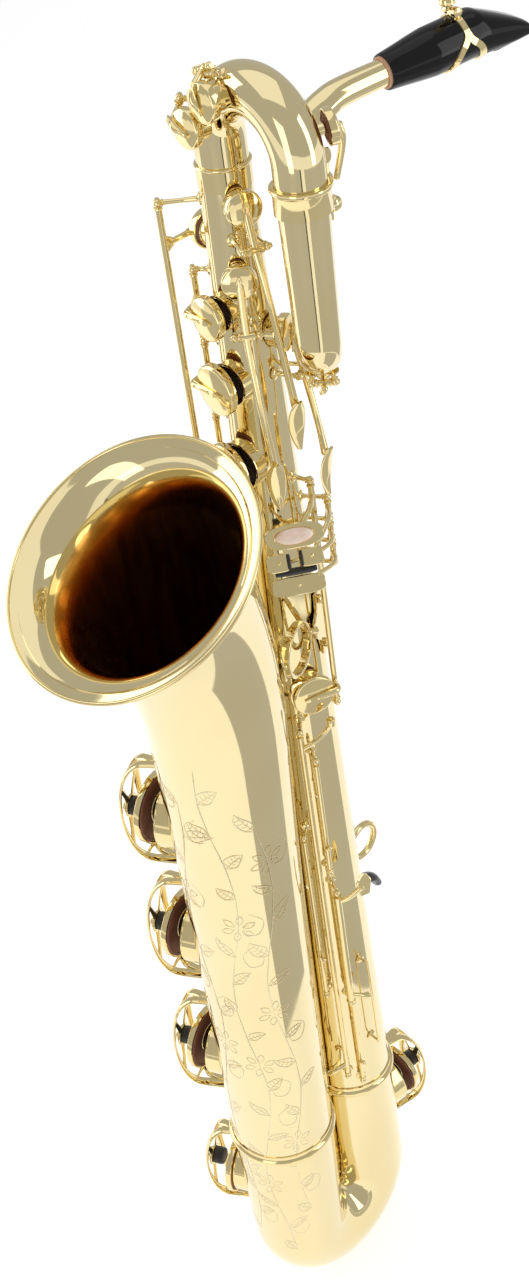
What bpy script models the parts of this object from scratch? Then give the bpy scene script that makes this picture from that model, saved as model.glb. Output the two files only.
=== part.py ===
"""Baritone saxophone, low A, built as separate soldered, hinged and sprung pieces.

Metres, +Z up along the body tube, -Y towards the bell side, +X to the player's left.
Everything is laid out from the joint between body tube and bottom bow (z = 0 on the body
tube's axis), and at the end the whole instrument is moved so that the strap ring's centre
is the origin.
"""
import math

import bmesh
import bpy
from mathutils import Matrix, Vector

# ---- layout ---------------------------------------------------------------
BODY_H = 0.800            # body tube, bow joint to crook joint
BODY_R0 = 0.0342          # body tube radius at the bow joint
BODY_R1 = 0.0155          # body tube radius at the crook joint
WALL = 0.0012
GAP = 0.0003              # clearance between neighbouring pieces
BELL_Y = -0.085           # bell tube axis at its bow joint
BELL_Z = 0.010
BELL_LEAN = 0.014         # how much the bell axis closes on the body per metre
BOW_STRAIGHT = 0.115
FLARE_Z = 0.430           # where the bell starts to bend forward
FLARE_R = 0.290           # bend radius of the bell axis
FLARE_DEG = 32.8
CROOK_DIR = math.radians(-8.0)
CROOK_SPAN = 0.068
CROOK_RISE = 0.015
CROOK_R2 = 0.0150
STRAP = Vector((0.0, 0.0470, 0.2200))

BRASS = (0.86, 0.62, 0.24)
DARK = (0.02, 0.02, 0.02)
LEATHER = (0.28, 0.12, 0.06)
FELT = (0.05, 0.04, 0.04)
PEARL = (0.92, 0.78, 0.68)
CORK = (0.72, 0.50, 0.36)

X = Vector((1, 0, 0))
Y = Vector((0, 1, 0))
Z = Vector((0, 0, 1))

for old in list(bpy.data.objects):
    bpy.data.objects.remove(old, do_unlink=True)
for old in list(bpy.data.meshes):
    bpy.data.meshes.remove(old)


def material(name, color, metallic, rough):
    m = bpy.data.materials.new(name)
    m.use_nodes = True
    b = m.node_tree.nodes["Principled BSDF"]
    b.inputs["Base Color"].default_value = (*color, 1)
    b.inputs["Metallic"].default_value = metallic
    b.inputs["Roughness"].default_value = rough
    m.diffuse_color = (*color, 1)
    return m


# ---- solid builders: each returns (vertices, faces) -----------------------
def frame_of(axis):
    axis = axis.normalized()
    side = axis.orthogonal().normalized()
    return axis, side, axis.cross(side)


def loft(rings):
    """Closed solid through equal rings of points, with flat end caps."""
    n = len(rings[0])
    verts = [p for ring in rings for p in ring]
    faces = []
    for i in range(len(rings) - 1):
        for j in range(n):
            k = (j + 1) % n
            faces.append((i * n + j, i * n + k, (i + 1) * n + k, (i + 1) * n + j))
    faces.append(tuple(reversed(range(n))))
    faces.append(tuple(range((len(rings) - 1) * n, len(rings) * n)))
    return verts, faces


def sweep(points, radii, seg=8, squash=1.0, up=None):
    """Round or oval bar along a path, square to it at every point."""
    pts = [Vector(p) for p in points]
    if not isinstance(radii, (list, tuple)):
        radii = [radii] * len(pts)
    rings = []
    side = None
    for i, p in enumerate(pts):
        a = (pts[i] - pts[i - 1]).normalized() if i else (pts[1] - pts[0]).normalized()
        b = (pts[i + 1] - pts[i]).normalized() if i < len(pts) - 1 else a
        t = (a + b).normalized()
        if side is None:
            side = (Vector(up) if up else t.orthogonal())
        side = (side - side.dot(t) * t).normalized()
        other = t.cross(side)
        stretch = 1.0 / max(0.5, t.dot(a))
        ring = []
        for j in range(seg):
            w = 2 * math.pi * (j + 0.5) / seg
            ring.append(p + radii[i] * (math.cos(w) * side + math.sin(w) * squash * other) * stretch)
        rings.append(ring)
    return loft(rings)


def cylinder(a, b, r, seg=10, r2=None):
    return sweep([a, b], [r, r if r2 is None else r2], seg)


def lathe(profile, origin, axis, seg=20):
    """Solid of revolution; profile runs (radius, height) and starts and ends on the axis."""
    axis, u, v = frame_of(axis)
    verts = [origin + profile[0][1] * axis]
    for r, h in profile[1:-1]:
        for j in range(seg):
            w = 2 * math.pi * j / seg
            verts.append(origin + h * axis + r * (math.cos(w) * u + math.sin(w) * v))
    verts.append(origin + profile[-1][1] * axis)
    faces = []
    rows = len(profile) - 2
    for j in range(seg):
        k = (j + 1) % seg
        faces.append((0, 1 + k, 1 + j))
        for i in range(rows - 1):
            s = 1 + i * seg
            faces.append((s + j, s + k, s + seg + k, s + seg + j))
        s = 1 + (rows - 1) * seg
        faces.append((s + j, s + k, len(verts) - 1))
    return verts, faces


def ring_lathe(loop, origin, axis, seg=32):
    """Ring of revolution; loop is a closed outline of (radius, height)."""
    axis, u, v = frame_of(axis)
    m = len(loop)
    verts = []
    for j in range(seg):
        w = 2 * math.pi * j / seg
        d = math.cos(w) * u + math.sin(w) * v
        verts += [origin + h * axis + r * d for r, h in loop]
    faces = []
    for j in range(seg):
        k = (j + 1) % seg
        for i in range(m):
            q = (i + 1) % m
            faces.append((j * m + i, j * m + q, k * m + q, k * m + i))
    return verts, faces


def closed_sweep(points, r, seg=6, squash=1.0, normal=None):
    """Bar along a closed loop lying across the given normal."""
    pts = [Vector(p) for p in points]
    n = len(pts)
    normal = Vector(normal).normalized()
    verts = []
    for i, p in enumerate(pts):
        t = (pts[(i + 1) % n] - pts[i - 1]).normalized()
        side = t.cross(normal).normalized()
        for j in range(seg):
            w = 2 * math.pi * (j + 0.5) / seg
            verts.append(p + r * (math.cos(w) * side + squash * math.sin(w) * normal))
    faces = []
    for i in range(n):
        k = (i + 1) % n
        for j in range(seg):
            q = (j + 1) % seg
            faces.append((i * seg + j, i * seg + q, k * seg + q, k * seg + j))
    return verts, faces


def plate(outline, origin, u, v, thick):
    """Flat plate: outline in (u, v) metres, thickened both ways across u x v."""
    u = Vector(u).normalized()
    v = (Vector(v) - Vector(v).dot(u) * u).normalized()
    n = u.cross(v)
    rings = []
    for side in (-0.5, 0.5):
        rings.append([origin + a * u + b * v + side * thick * n for a, b in outline])
    return loft(rings)


def oval(a, b, n=14, x0=0.0, y0=0.0):
    return [(x0 + a * math.cos(2 * math.pi * i / n), y0 + b * math.sin(2 * math.pi * i / n))
            for i in range(n)]


# ---- turning builders into objects ----------------------------------------
def mesh_from(shapes, name):
    bm = bmesh.new()
    for verts, faces in shapes:
        vs = [bm.verts.new(p) for p in verts]
        for f in faces:
            bm.faces.new([vs[i] for i in f])
    bm.normal_update()
    bmesh.ops.recalc_face_normals(bm, faces=bm.faces)
    me = bpy.data.meshes.new(name)
    bm.to_mesh(me)
    bm.free()
    return me


def flat(shape):
    """One shape with its normals settled and facing out."""
    me = mesh_from([shape], "t")
    bm = bmesh.new()
    bm.from_mesh(me)
    if bm.calc_volume(signed=True) < 0:
        bmesh.ops.reverse_faces(bm, faces=bm.faces)
    out = ([v.co.copy() for v in bm.verts], [tuple(v.index for v in f.verts) for f in bm.faces])
    bm.free()
    bpy.data.meshes.remove(me)
    return out


def raw_mesh(shapes, name):
    """Mesh of several solids, each facing out."""
    verts = []
    faces = []
    for s in shapes:
        v, f = flat(s)
        base = len(verts)
        verts += v
        faces += [tuple(i + base for i in q) for q in f]
    me = bpy.data.meshes.new(name)
    me.from_pydata(verts, [], faces)
    me.update()
    return me


def boolean(base, operand, how):
    m = base.modifiers.new("b", "BOOLEAN")
    m.operation = how
    m.solver = "EXACT"
    m.use_self = True
    m.object = operand
    bpy.context.view_layer.update()
    done = bpy.data.meshes.new_from_object(base.evaluated_get(bpy.context.evaluated_depsgraph_get()))
    base.modifiers.clear()
    old = base.data
    base.data = done
    bpy.data.meshes.remove(old)
    bpy.data.objects.remove(operand, do_unlink=True)


def drop_slivers(bm):
    """Remove stray specks that a boolean leaves beside the solid."""
    bm.faces.ensure_lookup_table()
    seen = set()
    for start in list(bm.faces):
        if start.index in seen:
            continue
        group = [start]
        seen.add(start.index)
        for f in group:
            for e in f.edges:
                for g in e.link_faces:
                    if g.index not in seen:
                        seen.add(g.index)
                        group.append(g)
        if sum(f.calc_area() for f in group) < 1e-6:
            for f in group:
                bm.faces.remove(f)
    for v in [v for v in bm.verts if not v.link_faces]:
        bm.verts.remove(v)


def temp(shapes):
    ob = bpy.data.objects.new("tmp", raw_mesh(shapes, "tmp"))
    bpy.context.scene.collection.objects.link(ob)
    return ob


def piece(name, look, shapes, cut=(), pivot=None, turn=None):
    """Named solid from shapes joined together, less the cut shapes.

    turn is (angle in degrees, axis, point): the piece is modelled closed and then turned
    into its resting pose.
    """
    shapes = list(shapes)
    ob = bpy.data.objects.new(name, raw_mesh(shapes[:1], name))
    bpy.context.scene.collection.objects.link(ob)
    if len(shapes) > 1:
        boolean(ob, temp(shapes[1:]), "UNION")
    if cut:
        boolean(ob, temp(cut), "DIFFERENCE")
    me = ob.data
    if turn:
        deg, axis, point = turn
        point = Vector(point)
        m = Matrix.Translation(point) @ Matrix.Rotation(math.radians(deg), 4, axis)
        me.transform(m @ Matrix.Translation(-point))
    bm = bmesh.new()
    bm.from_mesh(me)
    drop_slivers(bm)
    bm.to_mesh(me)
    bm.free()
    shift = Vector(pivot) if pivot is not None else Vector((0, 0, 0))
    me.transform(Matrix.Translation(-shift))
    ob.location = shift - STRAP
    me.materials.clear()
    me.materials.append(material(name, *LOOKS[look]))
    me.name = name
    return ob


LOOKS = {
    "brass": (BRASS, 1.0, 0.18),
    "black": (DARK, 0.0, 0.2),
    "leather": (LEATHER, 0.0, 0.7),
    "felt": (FELT, 0.0, 0.95),
    "pearl": (PEARL, 0.0, 0.25),
    "cork": (CORK, 0.0, 0.9),
}


# ---- tubes ----------------------------------------------------------------
def body_r(z):
    return BODY_R0 + (BODY_R1 - BODY_R0) * z / BODY_H


def bell_axis(z):
    return Vector((0, BELL_Y + BELL_LEAN * (z - BELL_Z), z))


BELL_PROFILE = [
    (0.0003, 0.0405), (0.250, 0.0430), (0.400, 0.0466), (0.460, 0.0495), (0.510, 0.0538),
    (0.545, 0.0592), (0.566, 0.0648), (0.579, 0.0712), (0.5865, 0.0790), (0.5900, 0.0890),
]


def bell_r(s):
    for (s0, r0), (s1, r1) in zip(BELL_PROFILE, BELL_PROFILE[1:]):
        if s <= s1:
            return r0 + (r1 - r0) * (s - s0) / (s1 - s0)
    return BELL_PROFILE[-1][1]


def bell_point(s):
    """Bell axis point and direction at distance s above the bow joint."""
    straight = FLARE_Z - BELL_Z
    lean = math.atan(BELL_LEAN)
    if s <= straight:
        return bell_axis(BELL_Z + s * math.cos(lean)), Vector((0, math.sin(lean), math.cos(lean)))
    a = (s - straight) / FLARE_R
    start = bell_axis(FLARE_Z)
    w = lean - a
    y = start.y + FLARE_R * (math.cos(lean) - math.cos(w)) * -1.0
    z = start.z + FLARE_R * (math.sin(lean) - math.sin(w))
    return Vector((0, y, z)), Vector((0, math.sin(w), math.cos(w)))


def tube_rings(stations, seg, grow=0.0, swing=0.0):
    rings = []
    for point, along, r in stations:
        u = X
        v = along.cross(u).normalized()
        rings.append([point + (r + grow) * (math.cos(w) * u + math.sin(w) * v)
                      for w in (2 * math.pi * (j + swing) / seg for j in range(seg))])
    return rings


def hollow(stations, seg, wall=WALL, reach=0.004):
    """Outer and inner solids of a tube; the inner one runs past both ends."""
    outer = loft(tube_rings(stations, seg))
    first, last = stations[0], stations[-1]
    inner = [(first[0] - reach * first[1], first[1], first[2])] + list(stations)
    inner.append((last[0] + reach * last[1], last[1], last[2] + (0.004 if last[2] > 0.08 else 0)))
    return outer, loft(tube_rings(inner, seg, -wall))


def chimney(axis_point, phi, radius, hole, height, seg=14):
    """Tone hole: its wall and the hole through it. phi in degrees round +Z from +X."""
    d = Vector((math.cos(math.radians(phi)), math.sin(math.radians(phi)), 0))
    a = axis_point + d * (radius * 0.45)
    b = axis_point + d * (radius + height)
    wall = cylinder(a, b, hole + 0.0012, seg)
    bore = cylinder(axis_point + d * (radius * 0.40), b + d * 0.002, hole, seg)
    return wall, bore


def post(axis_point, radius, rod, head=0.0023):
    """Post soldered to a tube and carrying a rod end at the point rod."""
    flat_dir = Vector((rod.x - axis_point.x, rod.y - axis_point.y, 0))
    d = flat_dir.normalized()
    foot = axis_point + d * (radius - 0.0011)
    foot.z = rod.z
    stem = cylinder(foot, rod, 0.0022, 5, 0.0013)
    knob = cylinder(rod - Z * head, rod + Z * head, 0.0026, 6)
    return [stem, knob]


BODY_ADD = []
BODY_CUT = []
BELL_ADD = []
BELL_CUT = []
BOW_ADD = []
BOW_CUT = []
CROOK_ADD = []
CROOK_CUT = []


# ---- keys -----------------------------------------------------------------
def polar(axis_point, phi, r, z=None):
    w = math.radians(phi)
    return Vector((axis_point.x + r * math.cos(w), axis_point.y + r * math.sin(w),
                   axis_point.z if z is None else z))


def cup_shape(center, d, r):
    """Key cup with a rim that holds the pad; center is on the pad's sealing face."""
    return lathe([(0, 0.0042), (r - 0.0006, 0.0042), (r - 0.0006, 0.0012), (r + 0.0006, 0.0012),
                  (r + 0.0006, 0.0052), (r * 0.72, 0.0072), (r * 0.25, 0.0078), (0, 0.0078)],
                 center, d, 16 if r > 0.02 else 12)


def pad_shape(center, d, r):
    return lathe([(0, 0), (r - 0.0022, 0), (r - 0.0010, 0.0010), (r - 0.0010, 0.0039),
                  (0, 0.0039)], center, d, 16 if r > 0.02 else 12)


def tone_key(tag, ax, phi, radius, hole, height, hinge_phi, hinge_r, z_lo, z_hi, open_deg,
             stays_open, add, cut, parts=(), pad=True, tall=0.0034):
    """One key over one tone hole: chimney, posts, key and pad.

    The hinge runs parallel to +Z at hinge_phi and hinge_r from the tube's axis.
    open_deg is how far the cup opens. Returns the hinge point.
    """
    wall, bore = chimney(ax, phi, radius, hole, height)
    add.append(wall)
    cut.append(bore)
    d = polar(Vector(), phi, 1.0)
    seat = ax + d * (radius + height + GAP)
    hinge = polar(ax, hinge_phi, hinge_r)
    r = hole + tall
    back = seat + d * 0.0080
    step = 1 if ((hinge_phi - phi + 180) % 360 - 180) > 0 else -1
    root = Vector((hinge.x, hinge.y, ax.z))
    toward = Z.cross(d) * step
    knee = seat + toward * (r + 0.0026) + d * 0.0070
    arm = sweep([back - toward * 0.0050, back + toward * 0.0045 + d * 0.0006, knee, root],
                [0.0018, 0.0022, 0.0020, 0.0017], 6, 0.8, up=(0, 0, 1))
    tube = cylinder(Vector((hinge.x, hinge.y, z_lo)), Vector((hinge.x, hinge.y, z_hi)), 0.0021, 8)
    turn = (step * open_deg, "Z", hinge) if stays_open else None
    piece("key_" + tag, "brass", [tube, arm, cup_shape(seat, d, r)] + list(parts), pivot=hinge, turn=turn)
    if pad:
        piece("pad_" + tag, "leather", [pad_shape(seat, d, r)], pivot=hinge, turn=turn)
    return hinge


def rod_posts(add, hinge, heights, centre, radius_at):
    """Posts along a rod parallel to +Z."""
    for z in heights:
        add.extend(post(centre(z), radius_at(z), Vector((hinge.x, hinge.y, z))))


def on_body(z):
    return Vector((0, 0, z))


def bell_leg(z):
    return Vector((0, BELL_Y, z))


def bell_z_r(z):
    return bell_r(max(0.0003, z - BELL_Z))


# bell keys: tag, height, hole radius, opening angle
BELL_KEYS = [
    ("low_A", 0.340, 0.0245, 9.0),
    ("low_Bb", 0.222, 0.0240, 9.0),
    ("low_B", 0.092, 0.0230, 9.0),
]
BELL_PHI = 200.0
BELL_HINGE = 138.0
for tag, z, hole, deg in BELL_KEYS:
    tone_key(tag, bell_axis(z), BELL_PHI, bell_z_r(z), hole, 0.005, BELL_HINGE, 0.0540,
             z - 0.030, z + 0.030, deg, True, BELL_ADD, BELL_CUT)
    for zz in (z - 0.0327, z + 0.0327):
        BELL_ADD.extend(post(bell_axis(zz), bell_z_r(zz), Vector((
            polar(bell_axis(z), BELL_HINGE, 0.0540).x, polar(bell_axis(z), BELL_HINGE, 0.0540).y, zz))))

# keys on the bottom bow: C sharp on the bell leg, C on the body leg
LEG_BELL = Vector((0, BELL_Y, -0.062))
LEG_BODY = Vector((0, 0, -0.056))


def leg_bell_r(z):
    return 0.0393 + 0.0012 * (z + 0.060) / 0.070 if z > -0.060 else 0.0383 + 0.0010 * (z + 0.115) / 0.055


def leg_body_r(z):
    return 0.0342 - 0.0010 * z / 0.060 if z > -0.060 else 0.0352 + 0.0009 * (-0.060 - z) / 0.055


R_LEG_BELL = leg_bell_r(-0.062)
R_LEG_BODY = leg_body_r(-0.056)
hinge = tone_key("low_Csharp", LEG_BELL, BELL_PHI, R_LEG_BELL, 0.0215, 0.005, BELL_HINGE, 0.0500,
                 -0.086, -0.038, 8.0, False, BOW_ADD, BOW_CUT, pad=False)
for zz in (-0.0887, -0.0353):
    BOW_ADD.extend(post(Vector((0, BELL_Y, zz)), R_LEG_BELL, Vector((hinge.x, hinge.y, zz))))
hinge = tone_key("low_C", LEG_BODY, 82.0, R_LEG_BODY, 0.0215, 0.005, 142.0, 0.0460,
                 -0.080, -0.032, 9.0, True, BOW_ADD, BOW_CUT, pad=False)
for zz in (-0.0827, -0.0293):
    BOW_ADD.extend(post(Vector((0, 0, zz)), R_LEG_BODY, Vector((hinge.x, hinge.y, zz))))

# lower stack, facing the player's right, and upper stack, facing the bell
LOWER = [("F", 0.390, 0.0160), ("D", 0.275, 0.0175)]
for tag, z, hole in LOWER:
    hinge = tone_key(tag, on_body(z), 190.0, body_r(z), hole, 0.004, 130.0, 0.0385,
                     z - 0.030, z + 0.030, 8.0, True, BODY_ADD, BODY_CUT, pad=False)
rod_posts(BODY_ADD, hinge, (0.2423, 0.3077, 0.3573, 0.4227), on_body, body_r)
UPPER = [("B", 0.712, 0.0100, 0.688, 0.730), ("A", 0.664, 0.0128, 0.636, 0.6825),
         ("G", 0.606, 0.0149, 0.582, 0.6305)]
for tag, z, hole, lo, hi in UPPER:
    hinge = tone_key(tag, on_body(z), 270.0, body_r(z), hole, 0.004, 212.0, 0.0275,
                     lo, hi, 9.0, True, BODY_ADD, BODY_CUT)
rod_posts(BODY_ADD, hinge, (0.5793, 0.63325, 0.68525, 0.7327), on_body, body_r)

TAB_U = Vector((0.64, 0.77, 0)).normalized()
TAB_V = Vector((-0.35, 0.29, 0.89))
TAB_V = (TAB_V - TAB_V.dot(TAB_U) * TAB_U).normalized()
TAB_N = TAB_U.cross(TAB_V)

# G sharp: cup low on the player's left, one long rod up to its plate in the finger table
GS_HINGE = polar(Vector(), 8.0, 0.0335)
gs_plate = plate([(-0.017, -0.007), (0.017, -0.007), (0.019, 0.0), (0.017, 0.008), (-0.017, 0.008),
                  (-0.019, 0.0)], Vector((0.0470, -0.0300, 0.5740)), TAB_U, TAB_V, 0.0016)
gs_arm = sweep([GS_HINGE + Z * 0.5800, Vector((0.0410, -0.0080, 0.5780)), Vector((0.0465, -0.0280, 0.5733))],
               0.0018, 6)
tone_key("Gsharp", on_body(0.425), 335.0, body_r(0.425), 0.0115, 0.004, 8.0, 0.0335, 0.411, 0.588,
         7.0, False, BODY_ADD, BODY_CUT, parts=[gs_arm, gs_plate], pad=False)
rod_posts(BODY_ADD, GS_HINGE, (0.4083, 0.5907), on_body, body_r)

# side key for the right hand: long rod down the player's right
SIDE_HINGE = polar(Vector(), 221.0, 0.0411)
side_touch = sweep([SIDE_HINGE + Z * 0.468, Vector((-0.046, -0.024, 0.462)), Vector((-0.058, -0.016, 0.450))],
                   [0.0018, 0.0018, 0.0020], 6)
side_leaf = plate(oval(0.016, 0.006, 12), Vector((-0.0590, -0.0155, 0.438)), (0, 0, 1), (0.6, 0.8, 0), 0.0024)
tone_key("side_E", on_body(0.752), 172.0, body_r(0.752), 0.0085, 0.004, 221.0, 0.0411, 0.460, 0.776,
         7.0, False, BODY_ADD, BODY_CUT, parts=[side_touch, side_leaf], pad=False)
rod_posts(BODY_ADD, SIDE_HINGE, (0.4573, 0.7787), on_body, body_r)


# ---- palm keys: a lever over a crosswise hinge ------------------------------
def palm_key(tag, phi, z_cup, hole, z_hinge, phi_touch, z_touch, r_touch):
    ax = on_body(z_cup)
    radius = body_r(z_cup)
    wall, bore = chimney(ax, phi, radius, hole, 0.004, 14)
    BODY_ADD.append(wall)
    BODY_CUT.append(bore)
    d = polar(Vector(), phi, 1.0)
    across = Z.cross(d)
    seat = ax + d * (radius + 0.004 + GAP)
    hinge = polar(on_body(z_hinge), phi, 0.0345)
    touch = polar(on_body(z_touch), phi_touch, r_touch)
    low = polar(on_body(z_hinge - 0.034), (phi * 2 + phi_touch) / 3, 0.0415)
    arm = sweep([seat + d * 0.0066, seat + d * 0.0082 - Z * 0.004, hinge, low, touch + Z * 0.012],
                [0.0024, 0.0022, 0.0026, 0.0020, 0.0022], 6, 0.8)
    out = polar(Vector(), phi_touch, 1.0)
    leaf = plate([(-0.018, 0.0), (-0.014, -0.0052), (-0.002, -0.0062), (0.013, -0.0030), (0.017, 0.0),
                  (0.013, 0.0030), (-0.002, 0.0062), (-0.014, 0.0052)], touch, (Z + out * 0.15),
                 Z.cross(out), 0.0024)
    tube = cylinder(hinge - across * 0.0050, hinge + across * 0.0050, 0.0024, 8)
    piece("key_" + tag, "brass", [arm, tube, leaf, cup_shape(seat, d, hole + 0.0030)], pivot=hinge)
    for side in (-1, 1):
        head = hinge + across * side * 0.0074
        foot = polar(on_body(z_hinge), phi, body_r(z_hinge) - 0.0022) + across * side * 0.0060
        BODY_ADD.append(cylinder(foot, head, 0.0020, 5, 0.0013))
        BODY_ADD.append(cylinder(head - across * 0.0019, head + across * 0.0019, 0.0026, 6))


palm_key("palm_D", 335.0, 0.779, 0.0076, 0.7580, 344.0, 0.646, 0.0480)
palm_key("palm_Eb", 380.0, 0.692, 0.0080, 0.6665, 366.0, 0.604, 0.0490)
palm_key("palm_F", 315.0, 0.735, 0.0072, 0.7050, 322.0, 0.608, 0.0480)


# ---- top crook and its two keys -------------------------------------------
CROOK_U = Vector((math.cos(CROOK_DIR), math.sin(CROOK_DIR), 0))
CROOK_N = Z.cross(CROOK_U)


def crook_point(deg):
    """Centre line and direction; 180 degrees is over the body tube."""
    w = math.radians(deg)
    c = Vector((0, 0, BODY_H + CROOK_RISE)) + CROOK_U * (CROOK_SPAN / 2)
    p = c + CROOK_SPAN / 2 * (math.cos(w) * CROOK_U + math.sin(w) * Z)
    return p, (math.sin(w) * CROOK_U - math.cos(w) * Z)


crook_stations = [(Vector((0, 0, BODY_H + 0.0003)), Z, BODY_R1), (Vector((0, 0, BODY_H + CROOK_RISE)), Z, BODY_R1)]
for i in range(1, 10):
    deg = 180 - 18 * i
    p, along = crook_point(deg)
    crook_stations.append((p, along, BODY_R1 + (CROOK_R2 - BODY_R1) * i / 10))
foot = CROOK_U * CROOK_SPAN
crook_stations.append((foot + Z * (BODY_H + CROOK_RISE), -Z, CROOK_R2))
crook_stations.append((foot + Z * (BODY_H + 0.0006), -Z, CROOK_R2))


def bent_rings(stations, seg, normal, grow=0.0):
    rings = []
    for p, along, r in stations:
        v = along.cross(normal).normalized()
        rings.append([p + (r + grow) * (math.cos(w) * normal + math.sin(w) * v)
                      for w in (2 * math.pi * j / seg for j in range(seg))])
    return rings


def run_past(stations, reach=0.004):
    first, last = stations[0], stations[-1]
    return ([(first[0] - first[1] * reach, first[1], first[2])] + list(stations)
            + [(last[0] + last[1] * reach, last[1], last[2])])


def crook_key(tag, deg, hole):
    p, along = crook_point(deg)
    d = -CROOK_N
    out = (p - crook_point(90)[0] + Z * (CROOK_SPAN / 2)).normalized()
    radius = BODY_R1
    CROOK_ADD.append(cylinder(p + d * 0.006, p + d * (radius + 0.004), hole + 0.0012, 14))
    CROOK_CUT.append(cylinder(p + d * 0.004, p + d * (radius + 0.006), hole, 14))
    seat = p + d * (radius + 0.004 + GAP)
    hinge = p + out * 0.0165 + d * 0.0160
    arm = sweep([seat + d * 0.0068, seat + d * 0.0085 + out * 0.006, hinge], [0.0024, 0.0022, 0.0020], 6, 0.8)
    tube = cylinder(hinge - along * 0.0045, hinge + along * 0.0045, 0.0021, 8)
    piece("key_" + tag, "brass", [arm, tube, cup_shape(seat, d, hole + 0.0032)], pivot=hinge)
    for side in (-1, 1):
        head = hinge + along * side * 0.0069
        root = p + along * side * 0.0060 + (out * 0.72 + d * 0.69) * (radius - 0.001)
        CROOK_ADD.append(cylinder(root, head, 0.0013, 6))
        CROOK_ADD.append(cylinder(head - along * 0.0019, head + along * 0.0019, 0.0026, 8))


crook_key("high_E", 158.0, 0.0080)
crook_key("high_F", 112.0, 0.0080)

top_crook_outer = loft(bent_rings(crook_stations, 16, CROOK_N))
top_crook_inner = loft(bent_rings(run_past(crook_stations), 16, CROOK_N, -WALL))
piece("top_crook", "brass", [top_crook_outer] + CROOK_ADD, [top_crook_inner] + CROOK_CUT)

# ---- down tube, small bow and neck receiver --------------------------------
PIG_DIR = Vector((-0.6613, 0.7499, 0)).normalized()
PIG_SPAN = 0.036
PIG_Z = 0.7090
pig = [(foot + Z * (BODY_H - 0.0003), -Z, CROOK_R2), (foot + Z * 0.755, -Z, 0.0142), (foot + Z * PIG_Z, -Z, 0.0134)]
for i in range(1, 8):
    w = math.radians(180 + 22.5 * i)
    c = foot + Z * PIG_Z + PIG_DIR * (PIG_SPAN / 2)
    pig.append((c + PIG_SPAN / 2 * (math.cos(w) * PIG_DIR + math.sin(w) * Z),
                math.cos(w) * Z - math.sin(w) * PIG_DIR, 0.0134 - 0.0010 * i / 8))
REC = foot + PIG_DIR * PIG_SPAN
REC_TOP = 0.790
pig.append((REC + Z * PIG_Z, Z, 0.0124))
pig.append((REC + Z * REC_TOP, Z, 0.0124))
PIG_N = Z.cross(PIG_DIR)
pig_outer = loft(bent_rings(pig, 14, PIG_N))
pig_inner = loft(bent_rings(run_past(pig), 14, PIG_N, -WALL))
collar = cylinder(REC + Z * 0.7700, REC + Z * REC_TOP, 0.0144, 20)
ear_dir = X
ears = sweep([REC + ear_dir * 0.0125 + Z * 0.780, REC + ear_dir * 0.0240 + Z * 0.780], [0.0050, 0.0050], 8)
WATER = foot + Z * (PIG_Z - 0.0315) + PIG_DIR * 0.018
water_pipe = cylinder(WATER + Z * 0.004, WATER - Z * 0.0005, 0.0030, 10)
water_hole = cylinder(WATER + Z * 0.008, WATER - Z * 0.003, 0.0018, 10)
w_hinge = WATER - PIG_DIR * 0.0125 - Z * 0.0020
w_posts = []
for side in (-1, 1):
    head = w_hinge + PIG_N * side * 0.0070
    w_posts.append(cylinder(head + Z * 0.0075 - PIG_N * side * 0.0010, head, 0.0013, 6))
    w_posts.append(cylinder(head - PIG_N * 0.0017, head + PIG_N * 0.0017, 0.0025, 8))
bore = cylinder(REC + Z * 0.760, REC + Z * 0.800, 0.0112, 20)
piece("neck_receiver", "brass", [pig_outer, collar, ears, water_pipe] + w_posts, [pig_inner, bore, water_hole,
      cylinder(REC + ear_dir * 0.0190 + Z * 0.770, REC + ear_dir * 0.0190 + Z * 0.790, 0.0022, 10)])
w_tube = cylinder(w_hinge - PIG_N * 0.0049, w_hinge + PIG_N * 0.0049, 0.0021, 8)
w_arm = sweep([w_hinge, w_hinge - Z * 0.0016 + PIG_DIR * 0.006, WATER - Z * 0.0040], 0.0016, 6)
w_cap = cylinder(WATER - Z * 0.0010, WATER - Z * 0.0045, 0.0038, 12)
w_tail = sweep([w_hinge, w_hinge - PIG_DIR * 0.005 - Z * 0.001, w_hinge - PIG_DIR * 0.011 + Z * 0.001],
               [0.0018, 0.0018, 0.0030], 6, 0.7)
piece("water_key", "brass", [w_tube, w_arm, w_cap, w_tail], pivot=w_hinge)
piece("neck_clamp_screw", "brass", [
    cylinder(REC + ear_dir * 0.0190 + Z * 0.7695, REC + ear_dir * 0.0190 + Z * 0.8040, 0.0018, 10),
    cylinder(REC + ear_dir * 0.0190 + Z * 0.7925, REC + ear_dir * 0.0190 + Z * 0.7975, 0.0038, 10),
    plate(oval(0.0052, 0.0052, 12), REC + ear_dir * 0.0190 + Z * 0.8072, (0, 1, 0), (0, 0, 1), 0.0018)],
    pivot=REC + ear_dir * 0.0190)

# ---- neck, cork and mouthpiece ---------------------------------------------
NECK_IN = REC + Z * 0.7690
NECK_H = Vector((math.sin(math.radians(17.0)), math.cos(math.radians(17.0)), 0))
MOUTH_DIR = (NECK_H + Z * math.tan(math.radians(5.0))).normalized()
CORK_AT = REC + NECK_H * 0.0321 + Z * 0.8315
neck_path = [(NECK_IN, 0.0108), (REC + Z * 0.7885, 0.0108), (REC + Z * 0.7915, 0.0108),
             (REC + Z * 0.7945, 0.0112), (REC + Z * 0.8030, 0.0106),
             (REC + NECK_H * 0.0035 + Z * 0.8135, 0.0101), (REC + NECK_H * 0.0110 + Z * 0.8222, 0.0095),
             (REC + NECK_H * 0.0200 + Z * 0.8280, 0.0089), (CORK_AT, 0.0084),
             (CORK_AT + MOUTH_DIR * 0.030, 0.0079), (CORK_AT + MOUTH_DIR * 0.046, 0.0077)]


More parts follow.
